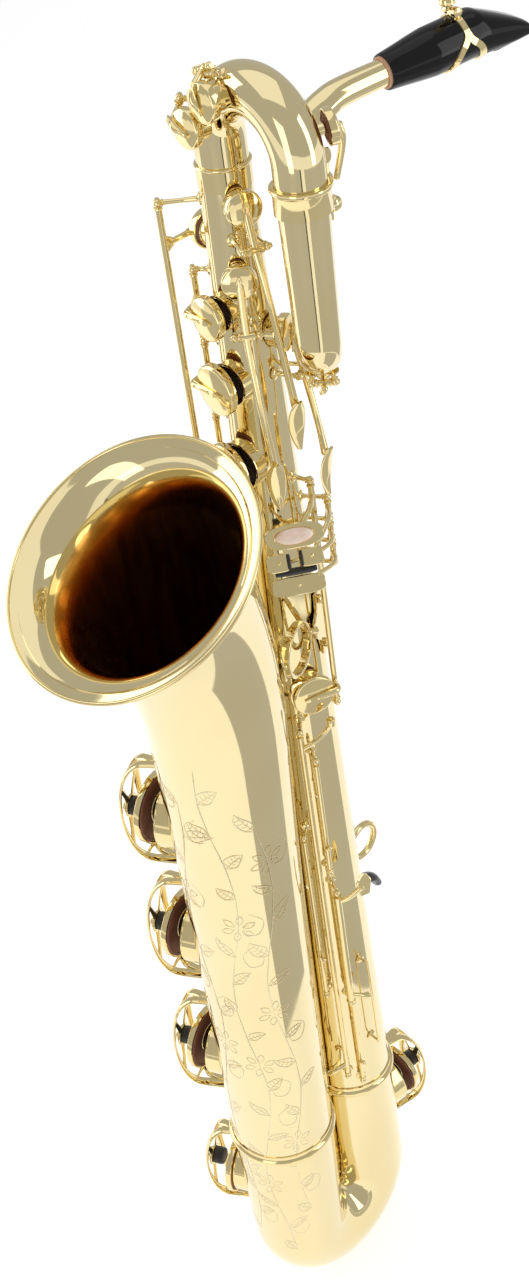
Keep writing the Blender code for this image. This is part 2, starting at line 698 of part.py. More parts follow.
def pipe(path, seg, grow=0.0, reach=0.0):
    pts = [p for p, r in path]
    rad = [r + grow for p, r in path]
    if reach:
        pts = [pts[0] - (pts[1] - pts[0]).normalized() * reach] + pts
        pts.append(pts[-1] + (pts[-1] - pts[-2]).normalized() * reach)
        rad = [rad[0]] + rad + [rad[-1]]
    return sweep(pts, rad, seg)


neck_collar = cylinder(REC + Z * 0.7930, REC + Z * 0.8010, 0.0140, 20)
piece("neck", "brass", [pipe(neck_path, 14), neck_collar], [pipe(neck_path, 14, -WALL, 0.004)], pivot=REC)
cork_a = CORK_AT + MOUTH_DIR * 0.0120
cork_b = CORK_AT + MOUTH_DIR * 0.0450
cork = ring_lathe([(0.0086, 0.0), (0.0092, 0.0), (0.0091, 0.033), (0.0081, 0.033)], cork_a, MOUTH_DIR, 18)
piece("neck_cork", "cork", [cork])
MP = CORK_AT + MOUTH_DIR * 0.0290
MP_LEN = 0.101
mp_u = X - MOUTH_DIR * X.dot(MOUTH_DIR)
mp_u.normalize()
mp_v = mp_u.cross(MOUTH_DIR) * -1.0
if mp_v.z < 0:
    mp_v = -mp_v
mp_rings = []
MP_SECTIONS = [(0.0, 0.0112, 0.0112, -0.0112), (0.0160, 0.0126, 0.0126, -0.0126), (0.0290, 0.0141, 0.0141, -0.0141),
               (0.0630, 0.0141, 0.0141, -0.0141), (0.0650, 0.0140, 0.0140, -0.0132), (0.0730, 0.0133, 0.0112, -0.0132),
               (0.0830, 0.0118, 0.0045, -0.0132), (0.0940, 0.0101, -0.0040, -0.0128), (MP_LEN, 0.0085, -0.0085, -0.0124)]
for h, half, top, bottom in MP_SECTIONS:
    ring = []
    for j in range(20):
        w = 2 * math.pi * (j + 0.5) / 20
        a = half * math.cos(w)
        b = math.sin(w)
        mid = (top + bottom) / 2
        flat_out = 1.12 if h > 0.0640 else 1.0
        b = mid + (top - mid) * b if b > 0 else max(mid + (mid - bottom) * b * flat_out, bottom)
        ring.append(MP + MOUTH_DIR * h + mp_u * a + mp_v * b)
    mp_rings.append(ring)
mp_body = loft(mp_rings)
mp_bore = cylinder(MP - MOUTH_DIR * 0.004, MP + MOUTH_DIR * 0.0190, 0.0096, 18)
mp_chamber = sweep([MP + MOUTH_DIR * 0.0150, MP + MOUTH_DIR * 0.066 - mp_v * 0.0035,
                    MP + MOUTH_DIR * 0.094 - mp_v * 0.0125], [0.0080, 0.0062, 0.0032], 12)
mp_window = sweep([MP + MOUTH_DIR * 0.0725 - mp_v * 0.0140, MP + MOUTH_DIR * 0.0965 - mp_v * 0.0128],
                  [0.0062, 0.0056], 4, 0.5, up=mp_u)
piece("mouthpiece", "black", [mp_body], [mp_bore, mp_chamber, mp_window], pivot=MP)
lig_a = MP + MOUTH_DIR * 0.0370
lig = ring_lathe([(0.0147, 0.0), (0.0157, 0.0), (0.0157, 0.026), (0.0147, 0.026)], lig_a, MOUTH_DIR, 20)
lug_at = lig_a + mp_v * 0.0178
lugs = [cylinder(lug_at + MOUTH_DIR * 0.0100 - mp_u * 0.0060, lug_at + MOUTH_DIR * 0.0100 + mp_u * 0.0060, 0.0030, 10),
        cylinder(lug_at + MOUTH_DIR * 0.0220 - mp_u * 0.0050, lug_at + MOUTH_DIR * 0.0220 + mp_u * 0.0050, 0.0027, 8)]
boss = cylinder(lig_a + MOUTH_DIR * 0.010 + mp_v * 0.0151, lig_a + MOUTH_DIR * 0.010 + mp_v * 0.0215, 0.0042, 12)
piece("ligature", "brass", [lig, lugs[0], lugs[1], boss],
      [cylinder(lig_a + MOUTH_DIR * 0.010 + mp_v * 0.0165, lig_a + MOUTH_DIR * 0.010 + mp_v * 0.0240, 0.0022, 12)])
screw_at = lig_a + MOUTH_DIR * 0.010
piece("ligature_screw", "brass", [
    cylinder(screw_at + mp_v * 0.0170, screw_at + mp_v * 0.0260, 0.0018, 10),
    cylinder(screw_at + mp_v * 0.0220, screw_at + mp_v * 0.0265, 0.0045, 14),
    plate(oval(0.0085, 0.0070, 14), screw_at + mp_v * 0.0315, mp_u, mp_v, 0.0022)], pivot=screw_at)


# ---- guards and felts ------------------------------------------------------
def guard(tag, centre, radius_at, z0, half, phi, rise, wide, felt_top):
    """Cage over a cup: two rails from foot to foot, a boss, and a felt under it."""
    d = polar(Vector(), phi, 1.0)
    across = Z.cross(d)
    bars = []
    n = 8
    for side in (-1, 1):
        pts = []
        for i in range(n + 1):
            t = i / n
            z = z0 + half * math.cos(math.pi * t)
            lift = rise * (max(0.0, math.sin(math.pi * t)) ** 0.42)
            swell = 0.0014 + (wide - 0.0014) * math.sin(math.pi * t)
            skew = 0.0004 if side > 0 else 0.0
            p = centre(z) + d * (radius_at(z) + 0.0016 + lift + skew) + across * side * swell + Z * skew
            pts.append(p)
        bars.append(sweep(pts, 0.0030, 4, 0.42, up=across))
    for z, tail in ((z0 - half, -1), (z0 + half, 1)):
        f = centre(z) + d * (radius_at(z) + GAP + 0.0006)
        slope = (radius_at(z + 0.006 * tail) - radius_at(z)) / (0.006 * tail)
        bars.append(plate([(-0.004, -0.0042), (0.007, -0.0042), (0.007, 0.0042), (-0.004, 0.0042)],
                          f + d * 0.0004, (Z + d * slope) * tail, across, 0.0012))
    top = radius_at(z0) + 0.0014 + rise
    mid = centre(z0) + d * top
    bars.append(plate([(-wide - 0.001, -0.0045), (wide + 0.001, -0.0045), (wide + 0.001, 0.0045),
                       (-wide - 0.001, 0.0045)], mid, across, Z, 0.0018))
    bars.append(cylinder(mid - d * 0.0016, mid + d * 0.0030, 0.0062, 12))
    piece("guard_" + tag, "brass", bars)
    low = centre(z0) + d * (felt_top + GAP)
    piece("bumper_" + tag, "felt", [cylinder(low, mid - d * 0.0019, 0.0072, 12)])


for tag, z, hole, deg in BELL_KEYS:
    r = bell_z_r(z)
    guard(tag, bell_axis, bell_z_r, z, 0.050 if tag != "low_A" else 0.046, BELL_PHI, 0.0335, 0.0150, r + 0.0250)
guard("low_Csharp", bell_leg, leg_bell_r, -0.062, 0.043, BELL_PHI, 0.0300, 0.0140, R_LEG_BELL + 0.0215)
guard("low_C", on_body, leg_body_r, -0.056, 0.043, 82.0, 0.0330, 0.0140, R_LEG_BODY + 0.0245)

# ---- bottom bow ------------------------------------------------------------
bow = [(Vector((0, 0, -0.0003)), -Z, BODY_R0), (Vector((0, 0, -0.060)), -Z, 0.0352),
       (Vector((0, 0, -BOW_STRAIGHT)), -Z, 0.0361)]
HALF = -BELL_Y / 2
for i in range(1, 10):
    w = math.radians(18 * i)
    p = Vector((0, -HALF + HALF * math.cos(w), -BOW_STRAIGHT - HALF * math.sin(w)))
    bow.append((p, Vector((0, -math.sin(w), -math.cos(w))), 0.0361 + 0.0022 * i / 10))
bow.append((Vector((0, BELL_Y, -BOW_STRAIGHT)), Z, 0.0383))
bow.append((Vector((0, BELL_Y, -0.060)), Z, 0.0393))
bow.append((Vector((0, BELL_Y, BELL_Z - 0.0003)), Z, 0.0405))
bow_foot = Vector((0, -HALF, -BOW_STRAIGHT - HALF - 0.0371))
wear_plate = plate(oval(0.016, 0.009, 14), bow_foot - Z * 0.0004, X, Y, 0.0020)
piece("bottom_bow", "brass", [loft(bent_rings(bow, 20, X)), wear_plate] + BOW_ADD,
      [loft(bent_rings(run_past(bow), 20, X, -WALL))] + BOW_CUT)

# ---- bell ------------------------------------------------------------------
bell_stations = [(*bell_point(s), r) for s, r in BELL_PROFILE]
bell_outer, bell_inner = hollow(bell_stations, 28)
rim_at, rim_dir = bell_point(BELL_PROFILE[-1][0])
rim = ring_lathe([(0.0868, -0.0016), (0.0898, -0.0018), (0.0898, 0.0008), (0.0868, 0.0010)], rim_at, rim_dir, 28)
inner_stations = [(p, a, r) for p, a, r in bell_stations]
inner_stations[-1] = (rim_at, rim_dir, 0.0878)
_, bell_inner = hollow(inner_stations, 28)
piece("bell", "brass", [bell_outer, rim] + BELL_ADD, [bell_inner] + BELL_CUT)

# ---- body tube -------------------------------------------------------------
body_stations = [(Vector((0, 0, z)), Z, body_r(z)) for z in (0.0003, 0.27, 0.54, BODY_H - 0.0003)]
body_outer, body_inner = hollow(body_stations, 20)

# ---- rings, brace, strap ring, hook ----------------------------------------
piece("body_bow_ring", "brass", [ring_lathe([(BODY_R0 + 0.0007, -0.0045), (BODY_R0 + 0.0018, -0.0040),
      (BODY_R0 + 0.0024, 0.0), (BODY_R0 + 0.0018, 0.0040), (BODY_R0 + 0.0007, 0.0045)], Vector((0, 0, 0)), Z, 24)])
piece("bell_bow_ring", "brass", [ring_lathe([(0.0413, -0.0045), (0.0423, -0.0040), (0.0429, 0.0),
      (0.0423, 0.0040), (0.0413, 0.0045)], Vector((0, BELL_Y, BELL_Z)), Z, 24)])
piece("crook_ferrule", "brass", [ring_lathe([(CROOK_R2 + GAP, -0.0130), (0.0166, -0.0130), (0.0166, 0.0),
      (0.0178, 0.0015), (0.0178, 0.0035), (CROOK_R2 + GAP, 0.0035)], foot + Z * BODY_H, Z, 24)])
BRACE_Z = 0.4720
brace_mid = Vector((0.0300, -0.0245, BRACE_Z))
BRACE_U = Vector((0.30, -0.95, 0)).normalized()
ring_pts = [brace_mid + 0.0180 * (math.cos(2 * math.pi * i / 20) * BRACE_U + math.sin(2 * math.pi * i / 20) * Z)
            for i in range(20)]
brace = [closed_sweep(ring_pts, 0.0012, 4, 2.4, BRACE_U.cross(Z))]
bp, ba = bell_point(0.4625)
bell_end = brace_mid + BRACE_U * 0.0180
bn = Vector((bell_end.x - bp.x, bell_end.y - bp.y, 0)).normalized()
bell_pad = Vector((bp.x, bp.y, BRACE_Z)) + bn * (bell_r(0.4625) + 0.0018)
brace.append(plate(oval(0.0125, 0.0070, 12), bell_pad, Z - bn * 0.05, Z.cross(bn), 0.0014))
brace.append(cylinder(bell_pad, bell_end, 0.0024, 8))
PLATE_PHI = 20.0
pn = polar(Vector(), PLATE_PHI, 1.0)
pt = Z.cross(pn)
body_pad = on_body(BRACE_Z) + pn * (body_r(BRACE_Z) + 0.0016)
PLATE_UP = Z - pn * 0.0234
brace.append(plate([(-0.0250, 0.0055), (-0.0250, -0.0045), (-0.0120, -0.0060), (-0.0060, -0.0120), (0.0060, -0.0120),
                    (0.0120, -0.0060), (0.0250, -0.0045), (0.0250, 0.0055)], body_pad, PLATE_UP, pt, 0.0020))
brace.append(cylinder(body_pad - pt * 0.0100, brace_mid - BRACE_U * 0.0180, 0.0019, 8))
screw_spots = [body_pad + PLATE_UP * h + pt * 0.0005 for h in (0.0185, -0.0185)]
piece("ring_brace", "brass", brace, [cylinder(q - pn * 0.004, q + pn * 0.004, 0.0018, 10) for q in screw_spots])
for tag, q in zip(("upper", "lower"), screw_spots):
    head = [(0, -0.0008), (0.0015, -0.0008), (0.0015, 0.0013), (0.0033, 0.0013), (0.0031, 0.0026), (0.0016, 0.0031),
            (0, 0.0031)]
    slot = plate([(-0.0045, -0.0004), (0.0045, -0.0004), (0.0045, 0.0004), (-0.0045, 0.0004)], q + pn * 0.0032,
                 Z + pt * 0.4, pt, 0.0016)
    piece("brace_screw_" + tag, "brass", [lathe(head, q, pn, 12)], [slot], pivot=q)

strap_pts = [STRAP + 0.0145 * (math.cos(2 * math.pi * i / 20) * Y + math.sin(2 * math.pi * i / 20) * Z)
             for i in range(20)]
strap_pad = Vector((0, body_r(STRAP.z) + GAP + 0.0010, STRAP.z))
piece("strap_ring", "brass", [closed_sweep(strap_pts, 0.0028, 8, 1.0, X),
      plate([(-0.013, -0.007), (0.013, -0.007), (0.013, 0.007), (-0.013, 0.007)], strap_pad, Z - Y * 0.0234, X,
            0.0018)])
hook_z = 0.178
hook_pad = Vector((0, body_r(hook_z) + GAP + 0.0011, hook_z))
piece("thumb_hook", "black", [
    plate([(-0.014, -0.008), (0.014, -0.008), (0.014, 0.008), (-0.014, 0.008)], hook_pad, Z - Y * 0.0234, X, 0.0020),
    sweep([hook_pad + Z * 0.004, hook_pad + Vector((0, 0.010, 0.003)), hook_pad + Vector((0, 0.021, -0.003)),
           hook_pad + Vector((0, 0.027, -0.013))], [0.0062, 0.0058, 0.0056, 0.0046], 8, 0.7, up=X)], pivot=hook_pad)

# ---- left-hand finger table ------------------------------------------------
TAB_H = polar(Vector(), 28.0, 0.0380)


def leaf(cx, cy, cz, a, b, n=12):
    return plate([(a * (abs(x) ** 0.7) * (1 if x > 0 else -1), b * (abs(y) ** 0.7) * (1 if y > 0 else -1))
                  for x, y in ((math.cos(2 * math.pi * (i + 0.5) / n), math.sin(2 * math.pi * (i + 0.5) / n))
                               for i in range(n))], Vector((cx, cy, cz)), TAB_U, TAB_V, 0.0016)


def table_touch(tag, z_lo, z_hi, at, a, b, way, extra=()):
    mid = (z_lo + z_hi) / 2
    tube = cylinder(TAB_H + Z * z_lo, TAB_H + Z * z_hi, 0.0021, 8)
    pts = [TAB_H + Z * mid, polar(on_body(mid), 8.0, 0.0435)] + way + [Vector(at)]
    piece("touch_" + tag, "brass", [tube, sweep(pts, 0.0017, 6), leaf(*at, a, b)] + list(extra), pivot=TAB_H)


table_touch("low_Csharp", 0.5397, 0.5513, (0.0385, -0.0385, 0.5545), 0.0080, 0.0060,
            [polar(on_body(0.5480), -20.0, 0.0460)])
table_touch("low_B", 0.5567, 0.5683, (0.0510, -0.0209, 0.5545), 0.0080, 0.0060, [])
bb_at = Vector((0.0470, -0.0315, 0.5365))
roll_at = bb_at + TAB_V * 0.0093
roll_ears = [plate([(0.0035, -0.0014), (0.0108, -0.0014), (0.0108, 0.0014), (0.0035, 0.0014)],
                   bb_at + TAB_U * s * 0.0146, TAB_V, TAB_N, 0.0012) for s in (-1, 1)]
table_touch("low_Bb", 0.5227, 0.5343, tuple(bb_at), 0.0175, 0.0062, [], roll_ears)
rod_posts(BODY_ADD, TAB_H, (0.5200, 0.5370, 0.5540, 0.5710), on_body, body_r)
piece("table_roller", "black", [lathe([(0, -0.0136), (0.0014, -0.0136), (0.0021, -0.0110), (0.0024, 0.0),
      (0.0021, 0.0110), (0.0014, 0.0136), (0, 0.0136)], roll_at, TAB_U, 12)], pivot=roll_at)
pearl_at = Vector((0.0470, -0.0300, 0.5740))
piece("pearl_Gsharp", "pearl", [loft([[pearl_at + TAB_N * h + s * (a * TAB_U * 0.0120 + b * TAB_V * 0.0052)
      for a, b in oval(1, 1, 16)] for h, s in ((0.0011, 1.0), (0.0020, 0.97), (0.0027, 0.75))])])

# ---- linkage and right-hand touch on the player's left ----------------------
LINK = Vector((0.0270, -0.0300, 0))
piece("link_Csharp", "brass", [cylinder(LINK + Z * 0.0340, LINK + Z * 0.3980, 0.0021, 8),
      sweep([LINK + Z * 0.386, Vector((0.0325, -0.0240, 0.3900)), Vector((0.0370, -0.0150, 0.3960)),
             Vector((0.0405, -0.0120, 0.4040))], 0.0017, 6),
      cylinder(Vector((0.0405, -0.0120, 0.4015)), Vector((0.0405, -0.0120, 0.4075)), 0.0032, 10),
      sweep([LINK + Z * 0.046, Vector((0.0235, -0.0390, 0.0440)), Vector((0.0190, -0.0425, 0.0400))],
            [0.0017, 0.0017, 0.0022], 6)], pivot=LINK)
rod_posts(BODY_ADD, LINK, (0.0313, 0.4007), on_body, body_r)
THICK = Vector((0.0370, -0.0250, 0))
piece("touch_low_C", "brass", [cylinder(THICK + Z * 0.1250, THICK + Z * 0.2420, 0.0030, 10),
      sweep([THICK + Z * 0.236, Vector((0.0440, -0.0200, 0.2400)), Vector((0.0500, -0.0100, 0.2470))],
            [0.0018, 0.0018, 0.0022], 6),
      plate([(-0.010, -0.004), (0.004, -0.006), (0.012, 0.0), (0.004, 0.006), (-0.010, 0.004)],
            Vector((0.0505, -0.0090, 0.2480)), Z, (0.4, 0.9, 0), 0.0020),
      sweep([THICK + Z * 0.132, Vector((0.0420, -0.0180, 0.1280)), Vector((0.0430, -0.0120, 0.1230))],
            [0.0018, 0.0018, 0.0026], 6)], pivot=THICK)
rod_posts(BODY_ADD, THICK, (0.1223, 0.2447), on_body, body_r)

piece("main_tube", "brass", [body_outer] + BODY_ADD, [body_inner] + BODY_CUT)
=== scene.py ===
"""Looks of the baritone saxophone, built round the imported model.

Everything is laid out from the joint between body tube and bottom bow, as the horn is built,
and moved by STRAP so that the strap ring's centre is the origin. Lengths are in metres.
"""

import math
import random

import bmesh
import bpy
from mathutils import Matrix, Vector


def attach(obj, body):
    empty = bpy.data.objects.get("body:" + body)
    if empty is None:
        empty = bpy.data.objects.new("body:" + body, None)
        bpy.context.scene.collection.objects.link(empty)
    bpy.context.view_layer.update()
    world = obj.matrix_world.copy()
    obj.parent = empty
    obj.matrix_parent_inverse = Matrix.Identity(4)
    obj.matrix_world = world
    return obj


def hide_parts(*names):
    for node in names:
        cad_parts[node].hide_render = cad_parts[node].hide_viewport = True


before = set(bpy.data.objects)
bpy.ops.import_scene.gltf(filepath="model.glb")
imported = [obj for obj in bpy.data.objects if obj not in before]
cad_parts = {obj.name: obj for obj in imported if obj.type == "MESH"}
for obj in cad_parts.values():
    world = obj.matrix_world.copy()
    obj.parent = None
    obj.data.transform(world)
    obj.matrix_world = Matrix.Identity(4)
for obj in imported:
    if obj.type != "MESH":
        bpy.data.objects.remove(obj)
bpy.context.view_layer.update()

X = Vector((1, 0, 0))
Y = Vector((0, 1, 0))
Z = Vector((0, 0, 1))
STRAP = Vector((0.0, 0.047, 0.22))
BODY_H = 0.8
BODY_R0 = 0.0342
BODY_R1 = 0.0155
WALL = 0.0012
BELL_Y = -0.085
BELL_Z = 0.01
BELL_LEAN = 0.014
BOW_STRAIGHT = 0.115
FLARE_Z = 0.43
FLARE_R = 0.29
CROOK_DIR = math.radians(-8.0)
CROOK_SPAN = 0.068
CROOK_RISE = 0.015
CROOK_R2 = 0.015
GAP = 0.0003


# ---- materials ----
def shader(name, color, metallic, rough, coat=0.0, coat_rough=0.03, **more):
    m = bpy.data.materials.new(name)
    m.use_nodes = True
    b = m.node_tree.nodes["Principled BSDF"]
    b.inputs["Base Color"].default_value = (*color, 1)
    b.inputs["Metallic"].default_value = metallic
    b.inputs["Roughness"].default_value = rough
    b.inputs["Coat Weight"].default_value = coat
    b.inputs["Coat Roughness"].default_value = coat_rough
    for key, value in more.items():
        b.inputs[key.replace("_", " ")].default_value = value
    return m, m.node_tree, b


def noise(tree, scale, detail=3.0, rough=0.5, stretch=(1, 1, 1)):
    n = tree.nodes
    where = n.new("ShaderNodeTexCoord")
    place = n.new("ShaderNodeMapping")
    place.inputs["Scale"].default_value = stretch
    tree.links.new(where.outputs["Object"], place.inputs["Vector"])
    tex = n.new("ShaderNodeTexNoise")
    tex.inputs["Scale"].default_value = scale
    tex.inputs["Detail"].default_value = detail
    tex.inputs["Roughness"].default_value = rough
    tree.links.new(place.outputs["Vector"], tex.inputs["Vector"])
    return tex.outputs["Fac"]


def ramp(tree, fac, stops):
    r = tree.nodes.new("ShaderNodeValToRGB")
    while len(r.color_ramp.elements) < len(stops):
        r.color_ramp.elements.new(0.5)
    for e, (at, color) in zip(r.color_ramp.elements, stops):
        e.position = at
        e.color = (*color, 1)
    tree.links.new(fac, r.inputs["Fac"])
    return r.outputs["Color"]


def spread(tree, fac, low, high):
    m = tree.nodes.new("ShaderNodeMapRange")
    m.inputs["From Min"].default_value = 0.3
    m.inputs["From Max"].default_value = 0.7
    m.inputs["To Min"].default_value = low
    m.inputs["To Max"].default_value = high
    tree.links.new(fac, m.inputs["Value"])
    return m.outputs["Result"]


def bump(tree, b, fac, strength, distance):
    k = tree.nodes.new("ShaderNodeBump")
    k.inputs["Strength"].default_value = strength
    k.inputs["Distance"].default_value = distance
    tree.links.new(fac, k.inputs["Height"])
    tree.links.new(k.outputs["Normal"], b.inputs["Normal"])


def tint(tree, b, fac, *stops):
    tree.links.new(ramp(tree, fac, stops), b.inputs["Base Color"])


def gloss(tree, b, fac, low, high):
    tree.links.new(spread(tree, fac, low, high), b.inputs["Roughness"])


def brass(name, low, high, rough, waves=0.02):
    """Polished brass under clear lacquer, with faint cloudiness and buffing marks."""
    m, tree, b = shader(name, high, 1.0, rough[0], 0.35, 0.04)
    tint(tree, b, noise(tree, 9.0, 4.0), (0.3, low), (0.7, high))
    gloss(tree, b, noise(tree, 160.0, 3.0, 0.6, (1, 1, 0.12)), *rough)
    bump(tree, b, noise(tree, 26.0, 2.0), waves, 0.0006)
    return m


BRASS = brass("lacquered_brass_tube", (0.835, 0.7, 0.385), (0.875, 0.745, 0.425), (0.045, 0.075), 0.02)
KEY_BRASS = brass("lacquered_brass_keys", (0.845, 0.685, 0.335), (0.885, 0.73, 0.38), (0.055, 0.095), 0.03)
# Darker amber brass for the inside of the bell bore: painted shade for the light that dies away deep in the
# bore.
BORE_SHADE_BRASS = brass("brass_bore_painted_shade", (0.56, 0.3, 0.085), (0.68, 0.395, 0.13), (0.14, 0.24), 0.05)

ENGRAVED, tree, b = shader("engraved_brass", (0.78, 0.66, 0.42), 1.0, 0.38, 0.35, 0.05)
tint(tree, b, noise(tree, 900.0, 2.0), (0.35, (0.66, 0.55, 0.33)), (0.65, (0.86, 0.76, 0.52)))
bump(tree, b, noise(tree, 1800.0, 1.0), 0.35, 0.0002)

LEATHER, tree, b = shader("pad_leather", (0.3, 0.12, 0.06), 0.0, 0.52)
tint(tree, b, noise(tree, 60.0, 5.0), (0.3, (0.165, 0.052, 0.026)), (0.7, (0.3, 0.115, 0.06)))
bump(tree, b, noise(tree, 1600.0, 4.0), 0.35, 0.0004)

FELT, tree, b = shader("black_felt", (0.018, 0.016, 0.016), 0.0, 0.96, 0.0, 0.03, Sheen_Weight=0.5)
tint(tree, b, noise(tree, 2400.0, 5.0), (0.3, (0.008, 0.008, 0.008)), (0.7, (0.045, 0.042, 0.042)))
bump(tree, b, noise(tree, 2400.0, 5.0), 0.8, 0.0006)

CORK, tree, b = shader("neck_cork", (0.66, 0.38, 0.24), 0.0, 0.86)
speck = tree.nodes.new("ShaderNodeTexVoronoi")
speck.inputs["Scale"].default_value = 900.0
tint(tree, b, speck.outputs["Distance"], (0.05, (0.3, 0.14, 0.075)), (0.25, (0.62, 0.34, 0.2)),
     (0.8, (0.74, 0.46, 0.3)))
bump(tree, b, speck.outputs["Distance"], 0.5, 0.0003)

EBONITE, tree, b = shader("black_ebonite", (0.004, 0.004, 0.005), 0.0, 0.07, IOR=1.36)
gloss(tree, b, noise(tree, 220.0, 3.0), 0.05, 0.11)
bump(tree, b, noise(tree, 60.0, 2.0), 0.02, 0.0005)

PLASTIC, tree, b = shader("black_plastic", (0.012, 0.012, 0.013), 0.0, 0.28, 0.2, 0.1)
gloss(tree, b, noise(tree, 500.0, 3.0), 0.22, 0.36)
bump(tree, b, noise(tree, 900.0, 2.0), 0.06, 0.0003)

PEARL, tree, b = shader("key_pearl", (0.9, 0.7, 0.58), 0.0, 0.16, 0.9, 0.03, Sheen_Weight=0.25)
tint(tree, b, noise(tree, 150.0, 5.0, 0.6, (1, 1, 2.5)), (0.25, (0.8, 0.53, 0.42)), (0.5, (0.93, 0.72, 0.6)),
     (0.75, (0.96, 0.86, 0.78)))

# Near-black for the insides of tone holes, the mouthpiece window and screw and guard slots: painted shade, as
# these openings are not cut into the surfaces.
PAINTED_SHADE, tree, b = shader("painted_shade_dark", (0.05, 0.028, 0.012), 0.6, 0.5)
tint(tree, b, noise(tree, 80.0, 3.0), (0.3, (0.03, 0.016, 0.007)), (0.7, (0.07, 0.04, 0.018)))


# ---- surfaces: each builder returns (vertices, faces) ----
def frame_of(axis):
    axis = axis.normalized()
    side = axis.orthogonal().normalized()
    return axis, side, axis.cross(side)


def loft(rings, caps=True):
    n = len(rings[0])
    verts = [p for ring in rings for p in ring]
    faces = []
    for i in range(len(rings) - 1):
        for j in range(n):
            k = (j + 1) % n
            faces.append((i * n + j, i * n + k, (i + 1) * n + k, (i + 1) * n + j))
    if caps:
        faces.append(tuple(reversed(range(n))))
        faces.append(tuple(range((len(rings) - 1) * n, len(rings) * n)))
    return verts, faces


def through(values, t):
    """Smooth value at position t along a list of numbers or vectors."""
    last = len(values) - 1
    i = min(int(t), last - 1)
    f = t - i
    p1, p2 = values[i], values[i + 1]
    p0 = values[i - 1] if i else p1 + (p1 - p2)
    p3 = values[i + 2] if i + 2 <= last else p2 + (p2 - p1)
    return 0.5 * ((2 * p1) + (p2 - p0) * f + (2 * p0 - 5 * p1 + 4 * p2 - p3) * f * f
                  + (3 * p1 - p0 - 3 * p2 + p3) * f ** 3)


def smooth(points, radii, per=6):
    pts = [Vector(p) for p in points]
    if not isinstance(radii, (list, tuple)):
        radii = [radii] * len(pts)
    radii = [float(r) for r in radii]
    if len(pts) < 3 or per < 2:
        return pts, radii
    total = (len(pts) - 1) * per
    steps = [i / per for i in range(total + 1)]
    return [through(pts, t) for t in steps], [max(1e-5, through(radii, t)) for t in steps]


def sweep(points, radii, seg=18, squash=1.0, up=None, per=6, dome=True):
    """Round or oval bar along a smooth path, with rounded ends."""
    pts, radii = smooth(points, radii, per)
    if dome:
        a = (pts[0] - pts[1]).normalized()
        c = (pts[-1] - pts[-2]).normalized()
        r0, r1 = radii[0], radii[-1]
        head = [(pts[0] + a * r0 * 0.55 * math.sin(w), r0 * math.cos(w)) for w in (1.45, 1.1, 0.6)]
        tail = [(pts[-1] + c * r1 * 0.55 * math.sin(w), r1 * math.cos(w)) for w in (0.6, 1.1, 1.45)]
        pts = [p for p, _ in head] + pts + [p for p, _ in tail]
        radii = [r for _, r in head] + radii + [r for _, r in tail]
    rings = []
    side = None
    for i, p in enumerate(pts):
        a = (pts[i] - pts[i - 1]).normalized() if i else (pts[1] - pts[0]).normalized()
        c = (pts[i + 1] - pts[i]).normalized() if i < len(pts) - 1 else a
        t = (a + c).normalized()
        if side is None:
            side = (Vector(up) if up else t.orthogonal())
        side = (side - side.dot(t) * t).normalized()
        other = t.cross(side)
        rings.append([p + radii[i] * (math.cos(w) * side + math.sin(w) * squash * other)
                      for w in (2 * math.pi * (j + 0.5) / seg for j in range(seg))])
    return loft(rings)


def strap(points, half, thick, up):
    """Flat strip along a path; up lies across the strip."""
    pts, widths = smooth(points, half, 8)
    up = Vector(up)
    rings = []
    for i, p in enumerate(pts):
        t = (pts[min(i + 1, len(pts) - 1)] - pts[max(i - 1, 0)]).normalized()
        u = (up - up.dot(t) * t).normalized()
        n = t.cross(u)
        w, h = widths[i], thick / 2
        soft = min(h, w) * 0.6
        rings.append([p + a * u + c * n for a, c in (
            (w - soft, h), (w, h - soft), (w, -h + soft), (w - soft, -h),
            (-w + soft, -h), (-w, -h + soft), (-w, h - soft), (-w + soft, h))])
    return loft(rings)


def cylinder(a, b, r, seg=24, soft=0.0):
    """Turned bar with its end edges eased by soft."""
    d = b - a
    h = d.length
    if soft:
        return lathe([(0, 0), (r - soft, 0), (r - soft * 0.3, soft * 0.3), (r, soft), (r, h - soft),
                      (r - soft * 0.3, h - soft * 0.3), (r - soft, h), (0, h)], a, d, seg)
    return sweep([a, b], r, seg, dome=False)


def lathe(profile, origin, axis, seg=48):
    axis, u, v = frame_of(axis)
    verts = [origin + profile[0][1] * axis]
    for r, h in profile[1:-1]:
        for j in range(seg):
            w = 2 * math.pi * j / seg
            verts.append(origin + h * axis + r * (math.cos(w) * u + math.sin(w) * v))
    verts.append(origin + profile[-1][1] * axis)
    faces = []
    rows = len(profile) - 2
    for j in range(seg):
        k = (j + 1) % seg
        faces.append((0, 1 + k, 1 + j))
        for i in range(rows - 1):
            s = 1 + i * seg
            faces.append((s + j, s + k, s + seg + k, s + seg + j))
        s = 1 + (rows - 1) * seg
        faces.append((s + j, s + k, len(verts) - 1))
    return verts, faces


def ring_lathe(loop, origin, axis, seg=72):
    axis, u, v = frame_of(axis)
    m = len(loop)
    verts = []
    for j in range(seg):
        w = 2 * math.pi * j / seg
        d = math.cos(w) * u + math.sin(w) * v
        verts += [origin + h * axis + r * d for r, h in loop]
    faces = []
    for j in range(seg):
        k = (j + 1) % seg
        for i in range(m):
            q = (i + 1) % m
            faces.append((j * m + i, j * m + q, k * m + q, k * m + i))
    return verts, faces


def torus(origin, axis, big, small, seg, round_seg):
    return ring_lathe([(big + small * math.cos(w), small * math.sin(w))
                       for w in (2 * math.pi * i / round_seg for i in range(round_seg))], origin, axis, seg)


